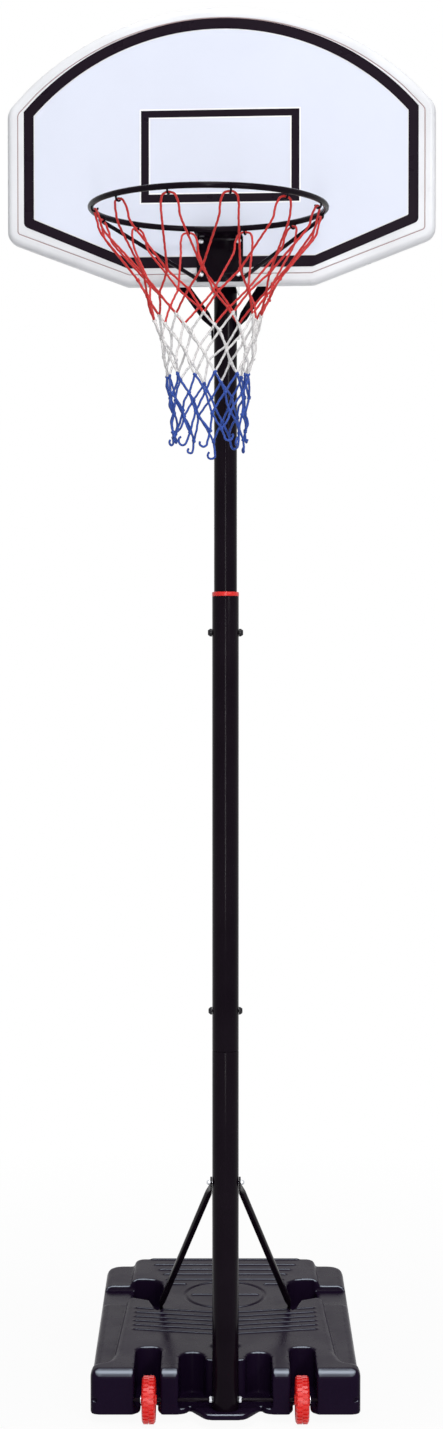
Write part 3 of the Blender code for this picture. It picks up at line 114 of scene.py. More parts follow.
class Surface:
    """A Principled material with helpers for its procedural nodes, and its slot in the record."""

    def __init__(self, name, colour, roughness, metallic=0.0, slot=None, **sockets):
        self.slot = slot or name
        self.material = bpy.data.materials.new(name)
        self.material.use_nodes = True
        self.tree = self.material.node_tree
        self.shader = self.tree.nodes["Principled BSDF"]
        self.colour = colour
        self.roughness = roughness
        inputs = self.shader.inputs
        inputs["Base Color"].default_value = (*colour, 1.0)
        inputs["Roughness"].default_value = roughness
        inputs["Metallic"].default_value = metallic
        for socket, value in sockets.items():
            inputs[socket.replace("_", " ")].default_value = value
        self.coordinates = self.tree.nodes.new("ShaderNodeTexCoord").outputs
        self.bumped = None

    def noise(self, scale, detail, stretch=None):
        """A noise in object space; stretch scales its three axes."""
        place = self.coordinates["Object"]
        if stretch:
            sockets = {"Vector": place, "Scale": stretch}
            place = added(self.tree, "Mapping", "Vector", sockets)
        sockets = {"Vector": place, "Scale": scale, "Detail": detail}
        return added(self.tree, "TexNoise", "Fac", sockets)

    def ranged(self, source, low, high, start=0.3, stop=0.7):
        """Map a value from start to stop onto low to high."""
        sockets = {"Value": source, "From Min": start, "From Max": stop, "To Min": low, "To Max": high}
        return added(self.tree, "MapRange", "Result", sockets)

    def bump(self, height, distance, strength):
        """Add a bump of that distance, on top of any bump already there."""
        sockets = {"Height": height, "Distance": distance, "Strength": strength}
        if self.bumped:
            sockets["Normal"] = self.bumped
        self.bumped = added(self.tree, "Bump", "Normal", sockets)
        self.tree.links.new(self.bumped, self.shader.inputs["Normal"])

    def mixed(self, share, low, high):
        """Let the base colour go from low to high as share goes from 0 to 1."""
        mix = added(self.tree, "Mix", "Result", {"Factor": share, "A": low, "B": high}, data_type="RGBA")
        self.tree.links.new(mix, self.shader.inputs["Base Color"])

    def vary(self, source, amount):
        """Darken and lighten the colour by amount as a noise rises."""
        dark = [c * (1 - amount) for c in self.colour]
        light = [min(c * (1 + amount) + amount * LIGHTER_LIFT, 1.0) for c in self.colour]
        self.mixed(self.ranged(source, 0.0, 1.0), (*dark, 1.0), (*light, 1.0))

    def worn(self, source, amount):
        """Let the roughness follow source by that amount either way, and return the surface."""
        rough = self.ranged(source, self.roughness - amount, self.roughness + amount)
        self.tree.links.new(rough, self.shader.inputs["Roughness"])
        return self

    def painted_edge_highlight(self, facing, light):
        """Paint a highlight into the base colour: convex rounded edges whose slope faces that way turn lighter,
        standing in for a lamp's reflection.
        """
        sockets = {0: self.coordinates["Normal"], 1: Vector(facing).normalized()}
        slope = added(self.tree, "VectorMath", "Value", sockets, operation="DOT_PRODUCT")
        convex = added(self.tree, "NewGeometry", "Pointiness")
        slope = self.ranged(slope, 0.0, 1.0, *HIGHLIGHT_SLOPE)
        convex = self.ranged(convex, 0.0, 1.0, *HIGHLIGHT_CONVEX)
        both = added(self.tree, "Math", "Value", {0: slope, 1: convex}, operation="MULTIPLY")
        plain = self.shader.inputs["Base Color"].links[0].from_socket
        self.mixed(both, plain, (*light, 1.0))


def moulded_plastic(name, colour, roughness, **sockets):
    """Blow-moulded plastic: fine grain, slow waves and a little uneven gloss."""
    surface = Surface(name, colour, roughness, **sockets)
    surface.bump(surface.noise(scale=9.0, detail=2.0), distance=0.0015, strength=0.35)
    surface.bump(surface.noise(scale=900.0, detail=2.0), distance=0.00006, strength=0.5)
    surface.vary(surface.noise(scale=5.0, detail=5.0), amount=0.10)
    return surface.worn(surface.noise(scale=14.0, detail=4.0), amount=0.06)


def coated_steel(name, colour, roughness, **sockets):
    """Powder-coated steel: a fine orange peel under an even gloss."""
    surface = Surface(name, colour, roughness, **sockets)
    surface.bump(surface.noise(scale=420.0, detail=1.0), distance=0.00002, strength=0.4)
    surface.vary(surface.noise(scale=7.0, detail=4.0), amount=0.12)
    return surface.worn(surface.noise(scale=30.0, detail=3.0), amount=0.05)


def plated_steel(name, colour, roughness):
    """Zinc-plated steel: bright, with a brushed grain and dull patches."""
    surface = Surface(name, colour, roughness, metallic=1.0)
    brushed = surface.noise(scale=700.0, detail=2.0, stretch=(1, 1, 8))
    surface.bump(brushed, distance=0.00003, strength=0.4)
    surface.vary(surface.noise(scale=120.0, detail=4.0), amount=0.12)
    return surface.worn(surface.noise(scale=160.0, detail=3.0), amount=0.09)


def sheet_plastic(name, colour, roughness):
    """A flat sheet on the board's front, for the prints and the groove band: a faint grain and hardly any
    variation.
    """
    surface = Surface(name, colour, roughness, slot="board_plastic", Specular_IOR_Level=0.08)
    surface.bump(surface.noise(scale=650.0, detail=1.0), distance=0.00002, strength=0.4)
    surface.vary(surface.noise(scale=3.0, detail=3.0), amount=0.02)
    return surface.worn(surface.noise(scale=20.0, detail=3.0), amount=0.04)


def cord_fibre(name, colour):
    """Twisted nylon cord: fibres, fuzz and uneven dye."""
    surface = Surface(name, colour, 0.62, slot="net_cord", Sheen_Weight=0.10, Sheen_Roughness=0.4)
    surface.bump(surface.noise(scale=2600.0, detail=2.0), distance=0.00018, strength=0.7)
    surface.vary(surface.noise(scale=260.0, detail=3.0), amount=0.22)
    return surface


TANK = moulded_plastic("tank_plastic", (0.0085, 0.0034, 0.0150), 0.28, Specular_IOR_Level=0.030)
# Painted highlight: the tank's rounded edges that face front and up get a lighter base colour where a lamp's
# reflection would be
TANK.painted_edge_highlight(facing=(0, -1, 1), light=(0.360, 0.400, 0.470))
WATER = moulded_plastic("water", (0.30, 0.52, 0.62), 0.10)
BLACK = coated_steel("black_paint", (0.0052, 0.0022, 0.0058), 0.16, Specular_IOR_Level=0.045)
DARK_PLASTIC = moulded_plastic("black_plastic", (0.011, 0.010, 0.013), 0.36, Specular_IOR_Level=0.20)
RED = moulded_plastic("red_plastic", (0.720, 0.015, 0.012), 0.30, Specular_IOR_Level=0.40)
ZINC = plated_steel("zinc_steel", (0.66, 0.68, 0.72), 0.30)
BOARD_WHITE = moulded_plastic(
    "board_white", (0.75, 0.76, 0.79), 0.32, slot="board_plastic", Specular_IOR_Level=0.30
)
PRINT_BLUE = sheet_plastic("print_pale_blue", (0.705, 0.740, 0.850), 0.34)
PRINT_BLACK = sheet_plastic("print_black", (0.0080, 0.0035, 0.0090), 0.30)
# A darker pinkish grey for the band laid on the groove's floor
GROOVE_TINT = sheet_plastic("groove_tint", (0.400, 0.300, 0.300), 0.50)
PRINT_WHITE = sheet_plastic("print_white", (0.90, 0.90, 0.92), 0.34)
CORD_RED = cord_fibre("cord_red", (0.500, 0.009, 0.007))
CORD_WHITE = cord_fibre("cord_white", (0.66, 0.65, 0.65))
CORD_BLUE = cord_fibre("cord_blue", (0.007, 0.050, 0.310))


# Mesh helpers


MERGE_DISTANCE = 1e-6
CAD_MERGE_DISTANCE = 1e-5
TURNED_ROUNDING = 4
CORD_SIDES = 10
WIRE_SIDES = 8


def loose(name, mesh):
    """A new object of a mesh."""
    piece = bpy.data.objects.new(name, mesh)
    bpy.context.collection.objects.link(piece)
    return piece


def meshed(name, bm):
    """A new mesh of a bmesh, which is freed."""
    mesh = bpy.data.meshes.new(name)
    bm.to_mesh(mesh)
    bm.free()
    return mesh


def baked(piece):
    """A piece's mesh with its modifiers applied, as a bmesh; the piece is removed."""
    bpy.context.view_layer.update()
    graph = bpy.context.evaluated_depsgraph_get()
    bm = bmesh.new()
    bm.from_mesh(bpy.data.meshes.new_from_object(piece.evaluated_get(graph)))
    bpy.data.objects.remove(piece)
    return bm


def merge(bm, piece):
    """Add a bmesh to another and free it."""
    mesh = meshed("part", piece)
    bm.from_mesh(mesh)
    bpy.data.meshes.remove(mesh)


def cad_copy(node):
    """A bmesh of a CAD node, with its corners welded."""
    bm = bmesh.new()
    bm.from_mesh(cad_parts[node].data)
    bmesh.ops.remove_doubles(bm, verts=bm.verts, dist=CAD_MERGE_DISTANCE)
    return bm


def made(name, bm, surface, body, replaces=(), place=None, sharp=32):
    """Make a piece of a bmesh, set it in its place, and let it ride on its body."""
    bmesh.ops.remove_doubles(bm, verts=bm.verts, dist=MERGE_DISTANCE)
    bmesh.ops.recalc_face_normals(bm, faces=bm.faces)
    mesh = meshed(name, bm)
    mesh.shade_smooth()
    mesh.set_sharp_from_angle(angle=math.radians(sharp))
    mesh.materials.append(surface.material)
    piece = loose(name, mesh)
    if place is not None:
        piece.matrix_world = place
    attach(piece, body)
    if replaces:
        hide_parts(*replaces)


def rounded(corners, steps=5, closed=True):
    """Points through (x, y, radius) corners, each rounded to its radius."""
    points = []
    count = len(corners)
    for i, (x, y, radius) in enumerate(corners):
        here = Vector((x, y))
        end = not closed and i in (0, count - 1)
        if radius <= 0 or end:
            points.append(here)
            continue
        back = (Vector(corners[i - 1][:2]) - here).normalized()
        ahead = (Vector(corners[(i + 1) % count][:2]) - here).normalized()
        half = back.angle(ahead) / 2
        centre = here + (back + ahead).normalized() * radius / math.sin(half)
        start = here + back * radius / math.tan(half) - centre
        stop = here + ahead * radius / math.tan(half) - centre
        first = math.atan2(start.y, start.x)
        sweep = (math.atan2(stop.y, stop.x) - first + math.pi) % math.tau - math.pi
        for k in range(steps + 1):
            angle = first + sweep * k / steps
            points.append(centre + Vector((math.cos(angle), math.sin(angle))) * radius)
    return points


def around(radius, angle, height):
    """The place at that radius, angle and height round Z."""
    return radius * math.cos(angle), radius * math.sin(angle), height


def spun(profile, steps, closed):
    """A shape turned about Z; profile(step) gives its (radius, z) rows at each step."""
    bm = bmesh.new()
    columns = []
    for step in range(steps):
        angle = math.tau * step / steps
        columns.append([bm.verts.new(around(radius, angle, z)) for radius, z in profile(step)])
    rows = len(columns[0])
    for step, here in enumerate(columns):
        beside = columns[(step + 1) % steps]
        for row in range(rows if closed else rows - 1):
            after = (row + 1) % rows
            bm.faces.new((here[row], beside[row], beside[after], here[after]))
    return bm


def turned(corners, steps, closed=False):
    """Turn (radius, z, rounding) corners about Z."""
    rows = rounded(corners, TURNED_ROUNDING, closed)
    return spun(lambda step: rows, steps, closed)


def bridged(bm, here, beyond):
    """Make faces between two closed loops of vertices."""
    for i in range(len(here)):
        j = (i + 1) % len(here)
        bm.faces.new((here[i], here[j], beyond[j], beyond[i]))


def prism(outline, low, high, bm=None):
    """A closed outline, extruded along Z."""
    bm = bm or bmesh.new()
    bottom = [bm.verts.new((x, y, low)) for x, y in outline]
    top = [bm.verts.new((x, y, high)) for x, y in outline]
    bm.faces.new(list(reversed(bottom)))
    bm.faces.new(top)
    bridged(bm, bottom, top)
    return bm


def sweep(points, section, bm=None, closed=False):
    """A tube through points; section(i, angle) is the radius, or it is one radius. Frames don't twist."""
    bm = bm or bmesh.new()
    sides = CORD_SIDES if callable(section) else WIRE_SIDES
    count = len(points)
    across = None
    rings = []
    for i, point in enumerate(points):
        after = points[(i + 1) % count] if closed else points[min(i + 1, count - 1)]
        before = points[i - 1] if closed else points[max(i - 1, 0)]
        along = (after - before).normalized()
        if across is None:
            across = along.orthogonal()
        across = (across - along * across.dot(along)).normalized()
        up = along.cross(across)
        ring = []
        for k in range(sides):
            angle = math.tau * k / sides
            radius = section(i, angle) if callable(section) else section
            ring.append(bm.verts.new(point + (across * math.cos(angle) + up * math.sin(angle)) * radius))
        rings.append(ring)
    pairs = list(zip(rings, rings[1:])) + ([(rings[-1], rings[0])] if closed else [])
    for here, beyond in pairs:
        bridged(bm, here, beyond)
    if not closed:
        bm.faces.new(list(reversed(rings[0])))
        bm.faces.new(rings[-1])
    return bm


SAME_FACE_ANGLE = math.radians(1)
SOFT_EDGE_ANGLE = math.radians(38)


def bevelled(piece, width, angle):
    """Give a piece a small rounded edge where its faces meet at more than that angle."""
    bevel = piece.modifiers.new("edges", "BEVEL")
    bevel.width = width
    bevel.segments = 2
    bevel.limit_method = "ANGLE"
    bevel.angle_limit = angle


def softened(node, surface, body, width):
    """A copy of a CAD node with small rounded edges, which stands for it."""
    bm = cad_copy(node)
    bmesh.ops.dissolve_limit(bm, angle_limit=SAME_FACE_ANGLE, verts=bm.verts, edges=bm.edges)
    piece = loose("raw", meshed(node, bm))
    bevelled(piece, width, SOFT_EDGE_ANGLE)
    made(f"{node}_finish", baked(piece), surface, body, (node,))


# Tank


DECK_FRONT = 0.119
DECK_BACK = 0.165
TANK_LENGTH = 0.790
FILLER = Vector((0, -0.234))
FILLER_RADIUS = 0.020
FILLER_DEPTH = 0.013
FILLER_REACH = 0.0015
FILLER_LOWEST = 0.020


def deck_height(y):
    """Height of the deck's flat top, which rises to the back."""
    return DECK_FRONT + (y - FRONT_Y) / TANK_LENGTH * (DECK_BACK - DECK_FRONT)


def outer_shell(node):
    """The outer skin of the hollow tank, with its filling hole as a cup, as one closed bmesh."""
    bm = cad_copy(node)
    bore = []
    for face in bm.faces:
        near = all((vert.co.xy - FILLER).length < FILLER_RADIUS + FILLER_REACH for vert in face.verts)
        if near and face.calc_center_median().z > DECK_FRONT - FILLER_LOWEST:
            bore.append(face)
    bmesh.ops.delete(bm, geom=bore, context="FACES")
    start = min(bm.verts, key=lambda vert: vert.co.z)
    seen = {start}
    queue = [start]
    while queue:
        vert = queue.pop()
        for edge in vert.link_edges:
            other = edge.other_vert(vert)
            if other not in seen:
                seen.add(other)
                queue.append(other)
    bmesh.ops.delete(bm, geom=[vert for vert in bm.verts if vert not in seen], context="VERTS")
    rim = [edge for edge in bm.edges if edge.is_boundary]
    cup = bmesh.ops.extrude_edge_only(bm, edges=rim)["geom"]
    bmesh.ops.translate(bm, verts=[item for item in cup if isinstance(item, bmesh.types.BMVert)],
                        vec=(0, 0, -FILLER_DEPTH))
    floor_edges = [item for item in cup if isinstance(item, bmesh.types.BMEdge) and item.is_boundary]
    bmesh.ops.contextual_create(bm, geom=floor_edges)
    bmesh.ops.recalc_face_normals(bm, faces=bm.faces)
    return bm


def ridge(distance, width, height):
    """A rounded ridge's height at a distance from its middle line."""
    share = abs(distance) / (width / 2)
    return height * (1 - share * share) ** 2 if share < 1 else 0.0


def smooth_step(value, start, stop):
    """0 before start and 1 after stop, with a soft rise between."""
    share = min(max((value - start) / (stop - start), 0.0), 1.0)
    return share * share * (3 - 2 * share)


FRONT_RIBS = 6
FRONT_RIB_START = 0.259
FRONT_RIB_STEP = 0.029
FRONT_RIB_REACH = 0.212
FRONT_RIB_LEAN = 0.035
FRONT_RIB_WIDTH = 0.016
FRONT_RIB_HEIGHT = 0.0027
REAR_RIBS = ((0.765, 0.186), (0.723, 0.176), (0.685, 0.164), (0.650, 0.152), (0.610, 0.143))
REAR_RIB_WIDTH = 0.015
REAR_RIB_HEIGHT = 0.0031
RIB_END = 0.006
BROKEN_RIB = 0.575
BROKEN_RIB_START = 0.095
BROKEN_RIB_STOP = 0.140
BROKEN_RIB_WIDTH = 0.013
BROKEN_RIB_HEIGHT = 0.0032
DISC_CENTRE = 0.497
DISC_RADIUS = 0.095
DISC_GROOVE_WIDTH = 0.010
DISC_GROOVE_DEPTH = 0.0030
DISC_BAR_SHARE = 0.86
DISC_BAR_WIDTH = 0.012
DISC_BAR_HEIGHT = 0.0030


def rib_end(side, reach):
    """1 along a rib and 0 beyond its end, with a soft end."""
    return 1 - smooth_step(side, reach - RIB_END, reach + RIB_END)


def deck_relief(x, y):
    """How far the deck's surface stands up or down at a place: ribs, and a disc with a bar."""
    away = y - POLE_Y
    side = abs(x)
    lift = 0.0
    front_end = rib_end(side, FRONT_RIB_REACH)
    for k in range(FRONT_RIBS):
        line = FRONT_RIB_START + k * FRONT_RIB_STEP
        line -= (1 - side / FRONT_RIB_REACH) * FRONT_RIB_LEAN
        lift += ridge(away - line, FRONT_RIB_WIDTH, FRONT_RIB_HEIGHT) * front_end
    for line, reach in REAR_RIBS:
        lift += ridge(away - line, REAR_RIB_WIDTH, REAR_RIB_HEIGHT) * rib_end(side, reach)
    if BROKEN_RIB_START < side < BROKEN_RIB_STOP:
        lift += ridge(away - BROKEN_RIB, BROKEN_RIB_WIDTH, BROKEN_RIB_HEIGHT)
    radius = math.hypot(x, away - DISC_CENTRE)
    lift += ridge(radius - DISC_RADIUS, DISC_GROOVE_WIDTH, -DISC_GROOVE_DEPTH)
    if side < DISC_RADIUS * DISC_BAR_SHARE:
        lift += ridge(away - DISC_CENTRE, DISC_BAR_WIDTH, DISC_BAR_HEIGHT)
    return lift


VOXEL = 0.0027
SMOOTHINGS = 8
UPWARD = 0.8
DECK_MARGIN = 0.006


def shape_tank():
    """The tank's moulded skin: soft edges from a voxel remesh, then the relief of its deck."""
    raw = loose("raw_tank", meshed("tank_skin", outer_shell("base_tank")))
    remesh = raw.modifiers.new("voxels", "REMESH")
    remesh.mode = "VOXEL"
    remesh.voxel_size = VOXEL
    smooth = raw.modifiers.new("smooth", "SMOOTH")
    smooth.factor = 0.5
    smooth.iterations = SMOOTHINGS
    bm = baked(raw)
    bm.normal_update()
    for vert in bm.verts:
        if vert.normal.z > UPWARD and vert.co.z > deck_height(vert.co.y) - DECK_MARGIN:
            vert.co.z += deck_relief(vert.co.x, vert.co.y)
    made("tank_shell", bm, TANK, "base", ("base_tank",), sharp=60)


shape_tank()


CAP_SEAT = 0.013
CAP_RIM = 0.006
CAP_DISH = 0.0052
CAP_FLANGE = 0.025
KNURL = 0.985
KNURLED_ROWS = range(9, 20)
GRIP_HALF_LENGTH = 0.0195
GRIP_HALF_WIDTH = 0.004
GRIP_ROUNDING = 0.0035


def filler_cap():
    """The bung's rim with a knurled edge and a grip bar."""
    low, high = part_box("filler_cap")
    seat = low.z + CAP_SEAT
    rim = seat + CAP_RIM
    dish = seat + CAP_DISH
    corners = [
        (0, low.z, 0), (0.0185, low.z, 0.001), (0.0197, seat, 0), (CAP_FLANGE, seat, 0.0006),
        (CAP_FLANGE, rim, 0.0018), (0.0215, rim, 0.0008), (0.0205, dish, 0.0006), (0, dish, 0),
    ]
    rows = rounded(corners, TURNED_ROUNDING, closed=False)

    def knurled(step):
        share = KNURL if step % 4 < 2 else 1.0
        return [(radius * (share if row in KNURLED_ROWS else 1.0), z) for row, (radius, z) in enumerate(rows)]

    bm = spun(knurled, 96, closed=False)
    ends = ((-1, -1), (1, -1), (1, 1), (-1, 1))
    grip = rounded([(i * GRIP_HALF_LENGTH, j * GRIP_HALF_WIDTH, GRIP_ROUNDING) for i, j in ends])
    prism(grip, seat + 0.004, high.z, bm)
    place = at(FILLER.x, FILLER.y, 0)
    made("filler_bung", bm, DARK_PLASTIC, "cap", ("filler_cap",), place)


filler_cap()


# Wheels and axle


TREADS = 30
TREAD_PITCH = math.tau / TREADS
TREAD_HALF = 0.015
TREAD_GAP = 0.0008
TREAD_ROOT = (0.0472, 0.36, 0.0)
TREAD_TOP = (WHEEL_RADIUS - 0.0002, 0.30, 0.0032)
SPOKES = 6
SPOKE = ((0.010, -0.0022), (0.041, -0.0016), (0.041, 0.0016), (0.010, 0.0022))
SPOKE_LOW = 0.0045
SPOKE_HIGH = 0.0105


def tread_block(bm, middle, row, inner, outer):
    """A block from root to top, each as (radius, half width in pitches, slope on the tyre's outer side)."""
    block = []
    for radius, spread, shoulder in (TREAD_ROOT, TREAD_TOP):
        for z in (inner + shoulder * (1 - row), outer - shoulder * row):
            for share in (-spread, 0.0, spread):
                block.append(bm.verts.new(around(radius, middle + share * TREAD_PITCH, z)))
    low, high = block[:6], block[6:]
    for a, b, c, d in ((0, 1, 4, 3), (1, 2, 5, 4)):
        bm.faces.new((high[a], high[b], high[c], high[d]))
        bm.faces.new((low[a], low[b], low[c], low[d]))
    for a, b in ((0, 1), (1, 2), (2, 5), (5, 4), (4, 3), (3, 0)):
        bm.faces.new((low[a], low[b], high[b], high[a]))


def wheel(side, tag):
    """A red wheel: two rows of staggered tread blocks, a web with spokes on both faces, and a hub."""
    half = TREAD_HALF
    hub = WHEEL_HUB
    bore = AXLE_RADIUS + GAP
    corners = [
        (bore, -hub, 0), (0.011, -hub, 0.0015), (0.0115, -0.006, 0.002), (0.040, -0.005, 0.003),
        (0.0425, -half, 0.0012), (0.0486, -half, 0.0042), (0.0496, 0, 0), (0.0486, half, 0.0042),
        (0.0425, half, 0.0012), (0.040, 0.005, 0.003), (0.0115, 0.006, 0.002), (0.011, hub, 0.0015),
        (bore, hub, 0),
    ]
    bm = turned(corners, 96, closed=True)
    rows = ((-half + TREAD_GAP, -TREAD_GAP), (TREAD_GAP, half - TREAD_GAP))
    for row, (inner, outer) in enumerate(rows):
        for k in range(TREADS):
            tread_block(bm, (k + 0.5 * row) * TREAD_PITCH, row, inner, outer)
    for k in range(SPOKES):
        turn = Matrix.Rotation(math.tau * k / SPOKES, 4, "Z")
        for face in (-1, 1):
            spoke = prism(SPOKE, face * SPOKE_LOW, face * SPOKE_HIGH)
            bmesh.ops.transform(spoke, matrix=turn, verts=spoke.verts)
            merge(bm, spoke)
    place = at(side * WHEEL_X, POLE_Y, AXLE_Z) @ TO_RIGHT
    made(f"wheel_tyre_{tag}", bm, RED, f"{tag}_wheel", (f"wheel_{tag}",), place)


HEXAGON_STEPS = 72
NUT_CHAMFER = 0.12
BOLT_SHANK = 0.003
BOLT_CHAMFER = 0.0006
BOLT_STEPS = 40
THREAD_PITCH = 0.0008
THREAD_DEPTH = 0.0003
THREAD_LENGTH = 0.012
THREAD_STOP = 0.0005


def hexagon(flat, step):
    """How far a hexagon's edge is from its middle at a step; its flats are at flat."""
    sixth = math.pi / 3
    angle = math.tau * step / HEXAGON_STEPS
    return flat / math.cos(angle % sixth - sixth / 2)


def nut(name, node, body, flat, hole, height, place):
    """A hexagon nut with chamfered corners."""
    low, high = height * NUT_CHAMFER, height * (1 - NUT_CHAMFER)

    def profile(step):
        edge = hexagon(flat, step)
        return (hole, 0), (flat, 0), (edge, low), (edge, high), (flat, height), (hole, height)

    made(name, spun(profile, HEXAGON_STEPS, closed=True), ZINC, body, (node,), place)


def threads(low, high, radius):
    """Corners of a threaded rod's side, from low to high, as a fine zigzag."""
    corners = []
    count = max(int((high - low) / THREAD_PITCH), 1)
    for k in range(count):
        z = low + (high - low) * k / count
        corners.append((radius, z, 0))
        corners.append((radius - THREAD_DEPTH, z + (high - low) / count / 2, 0))
    return corners


def bolt(name, node, body, place, length, head, height, surface):
    """A dome-headed bolt from its head's underside at z = 0, threaded at its end."""
    thread = threads(length - min(THREAD_LENGTH, length / 2), length - THREAD_STOP, BOLT_SHANK)
    corners = [
        (0, length, 0), (BOLT_SHANK - BOLT_CHAMFER, length, 0), *reversed(thread), (BOLT_SHANK, 0, 0),
        (head, 0, 0.0003), (head, -height * 0.42, height * 0.30), (head * 0.55, -height * 0.97, height * 0.3),
        (0, -height, 0),
    ]
    made(name, turned(corners, BOLT_STEPS), surface, body, (node,), place)


AXLE_NUT_FLAT = 0.0065
AXLE_NUT_HEIGHT = 0.006
WASHER_RADIUS = 0.008
WASHER_THICKNESS = 0.0015


def axle_group():
    """The axle, its nuts by the pole, the wheels and the washers outside them."""
    low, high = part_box("axle")
    place = at(0, POLE_Y, AXLE_Z) @ TO_RIGHT
    half = (high.x - low.x) / 2
    rod = AXLE_RADIUS
    hole = AXLE_RADIUS + GAP
    corners = [(0, -half, 0), (rod, -half, 0.0006), (rod, half, 0.0006), (0, half, 0)]
    made("axle_rod", turned(corners, 32), BLACK, "base", ("axle",), place)
    washer = [(hole, 0, 0), (WASHER_RADIUS, 0, 0.0003), (WASHER_RADIUS, WASHER_THICKNESS, 0.0004),
              (hole, WASHER_THICKNESS, 0)]
    for side, tag, turn in SIDES:
        near = at(side * (POLE_RADIUS + GAP), POLE_Y, AXLE_Z) @ turn
        nut(f"axle_lock_nut_{tag}", f"axle_nut_{tag}", "base", AXLE_NUT_FLAT, hole, AXLE_NUT_HEIGHT, near)
        out = at(side * (WHEEL_X + WHEEL_HUB + GAP), POLE_Y, AXLE_Z) @ turn
        bm = turned(washer, 48, closed=True)
        made(f"axle_washer_{tag}", bm, ZINC, "base", (f"wheel_washer_{tag}",), out)
        wheel(side, tag)


axle_group()


# Poles


LOWER_POLE_LOW = 0.0343
SHOULDER_LOW = 0.8225
SHOULDER_HIGH = 0.8237
INNER_SHOULDER_LOW = 0.8189
INNER_SHOULDER_HIGH = 0.8213
NECK_TOP = 0.950
MIDDLE_POLE_LOW = 0.824
MIDDLE_POLE_TOP = 1.814
SLEEVE_LOW = 1.704
COLLAR_LOW = 1.8143
COLLAR_TOP = 1.8235
PLUG_DEPTH = 0.015
PLUG_EDGE = 0.0058
PLUG_CROWN = 0.0062


def tube(name, node, corners, surface, body, place):
    """A closed (radius, z, rounding) profile turned into a tube, which stands for a node."""
    made(name, turned(corners, 96, closed=True), surface, body, (node,), place)


def pole_pieces():
    """The three tubes, the guide sleeve with its red collar, and the end plug."""
    outer = POLE_RADIUS
    inner = outer - POLE_WALL
    neck = inner - GAP
    neck_bore = neck - POLE_WALL
    tube("lower_tube", "lower_pole", [
        (inner, LOWER_POLE_LOW, 0), (outer, LOWER_POLE_LOW, 0.0005), (outer, SHOULDER_LOW, 0.0008),
        (neck, SHOULDER_HIGH, 0), (neck, NECK_TOP, 0.0004), (neck_bore, NECK_TOP, 0),
        (neck_bore, INNER_SHOULDER_HIGH, 0), (inner, INNER_SHOULDER_LOW, 0),
    ], BLACK, "base", POLE)
    tube("middle_tube", "middle_pole", [
        (inner, MIDDLE_POLE_LOW, 0), (outer, MIDDLE_POLE_LOW, 0.0007), (outer, MIDDLE_POLE_TOP, 0.0006),
        (inner, MIDDLE_POLE_TOP, 0),
    ], BLACK, "base", POLE)
    guide = UPPER_POLE_RADIUS + GAP
    collar = outer + GAP
    tube("guide_collar", "collar_sleeve", [
        (guide, SLEEVE_LOW, 0), (neck, SLEEVE_LOW, 0), (neck, COLLAR_LOW, 0), (collar, COLLAR_LOW, 0.0008),
        (collar, COLLAR_TOP, 0.0025), (guide, COLLAR_TOP, 0.0006),
    ], RED, "base", POLE)
    low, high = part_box("upper_pole")
    thin = UPPER_POLE_RADIUS
    bore = thin - POLE_WALL
    tube("upper_tube", "upper_pole", [
        (bore, low.z, 0), (thin, low.z, 0.0005), (thin, high.z, 0.0005), (bore, high.z, 0),
    ], BLACK, "head", HEAD)
    top = high.z + GAP
    plug = [
        (0, top - PLUG_DEPTH, 0), (bore - GAP, top - PLUG_DEPTH, 0), (bore - GAP, top, 0),
        (thin, top, 0.0008), (thin - 0.0005, top + PLUG_EDGE, 0.0028), (0, top + PLUG_CROWN, 0),
    ]
    made("upper_tube_plug", turned(plug, 64), DARK_PLASTIC, "head", ("pole_top_cap",), HEAD)


pole_pieces()


BIG_HEAD = 0.0085
SMALL_HEAD = 0.0055
DOME_HEIGHT = 0.008
BOLT_IN_NUT = 0.0047
NUT_BORE = 0.0033
NUT_BORE_DEPTH = 0.005
STRUT_THICKNESS = 0.004
BRACE_THICKNESS = 0.005


def cross_bolt(tag, height, reach, head, surface, body, pole):
    """A bolt across a pole and its dome nut, in the place of the frame's two nodes."""
    at_head = pole @ at(-reach, 0, height) @ TO_RIGHT
    bolt(f"{tag}_screw", f"{tag}_bolt", body, at_head, 2 * reach + BOLT_IN_NUT, head, DOME_HEIGHT, surface)
    at_nut = pole @ at(reach, 0, height) @ TO_RIGHT
    corners = [
        (0, NUT_BORE_DEPTH, 0), (NUT_BORE, NUT_BORE_DEPTH, 0), (NUT_BORE, 0, 0), (head, 0, 0.0003),
        (head, 0.0030, 0.0016), (head * 0.60, 0.0077, 0.0022), (0, DOME_HEIGHT, 0),
    ]
    made(f"{tag}_dome_nut", turned(corners, BOLT_STEPS), surface, body, (f"{tag}_nut",), at_nut)


CLAMP_SHANK = 0.005
CLAMP_HEIGHT = 0.009
SOCKET_FLAT = 0.0030
SOCKET_CHAMFER = 0.0003
SOCKET_DEPTH = 0.0045


def clamp_screw(tag, turn):
    """A dome-headed clamp screw with a hexagon socket."""
    tip = UPPER_POLE_RADIUS + GAP
    seat = POLE_RADIUS + GAP
    top = seat + CLAMP_HEIGHT
    rows = rounded([
        (0, tip, 0), (CLAMP_SHANK, tip, 0.0004), (CLAMP_SHANK, seat, 0), (BIG_HEAD, seat, 0.0004),
        (BIG_HEAD, seat + 0.0042, 0.0028), (0.0052, top, 0.0010), (0.0036, top, 0),
    ], 5, closed=False)

    def profile(step):
        socket = hexagon(SOCKET_FLAT, step)
        return [*rows, (socket, top - SOCKET_CHAMFER), (socket, top - SOCKET_DEPTH), (0, top - SOCKET_DEPTH)]

    bm = spun(profile, HEXAGON_STEPS, closed=False)
    place = at(0, POLE_Y, CLAMP_Z) @ turn
    made(f"clamp_knob_{tag}", bm, DARK_PLASTIC, f"{tag}_clamp_screw", (f"clamp_screw_{tag}",), place)


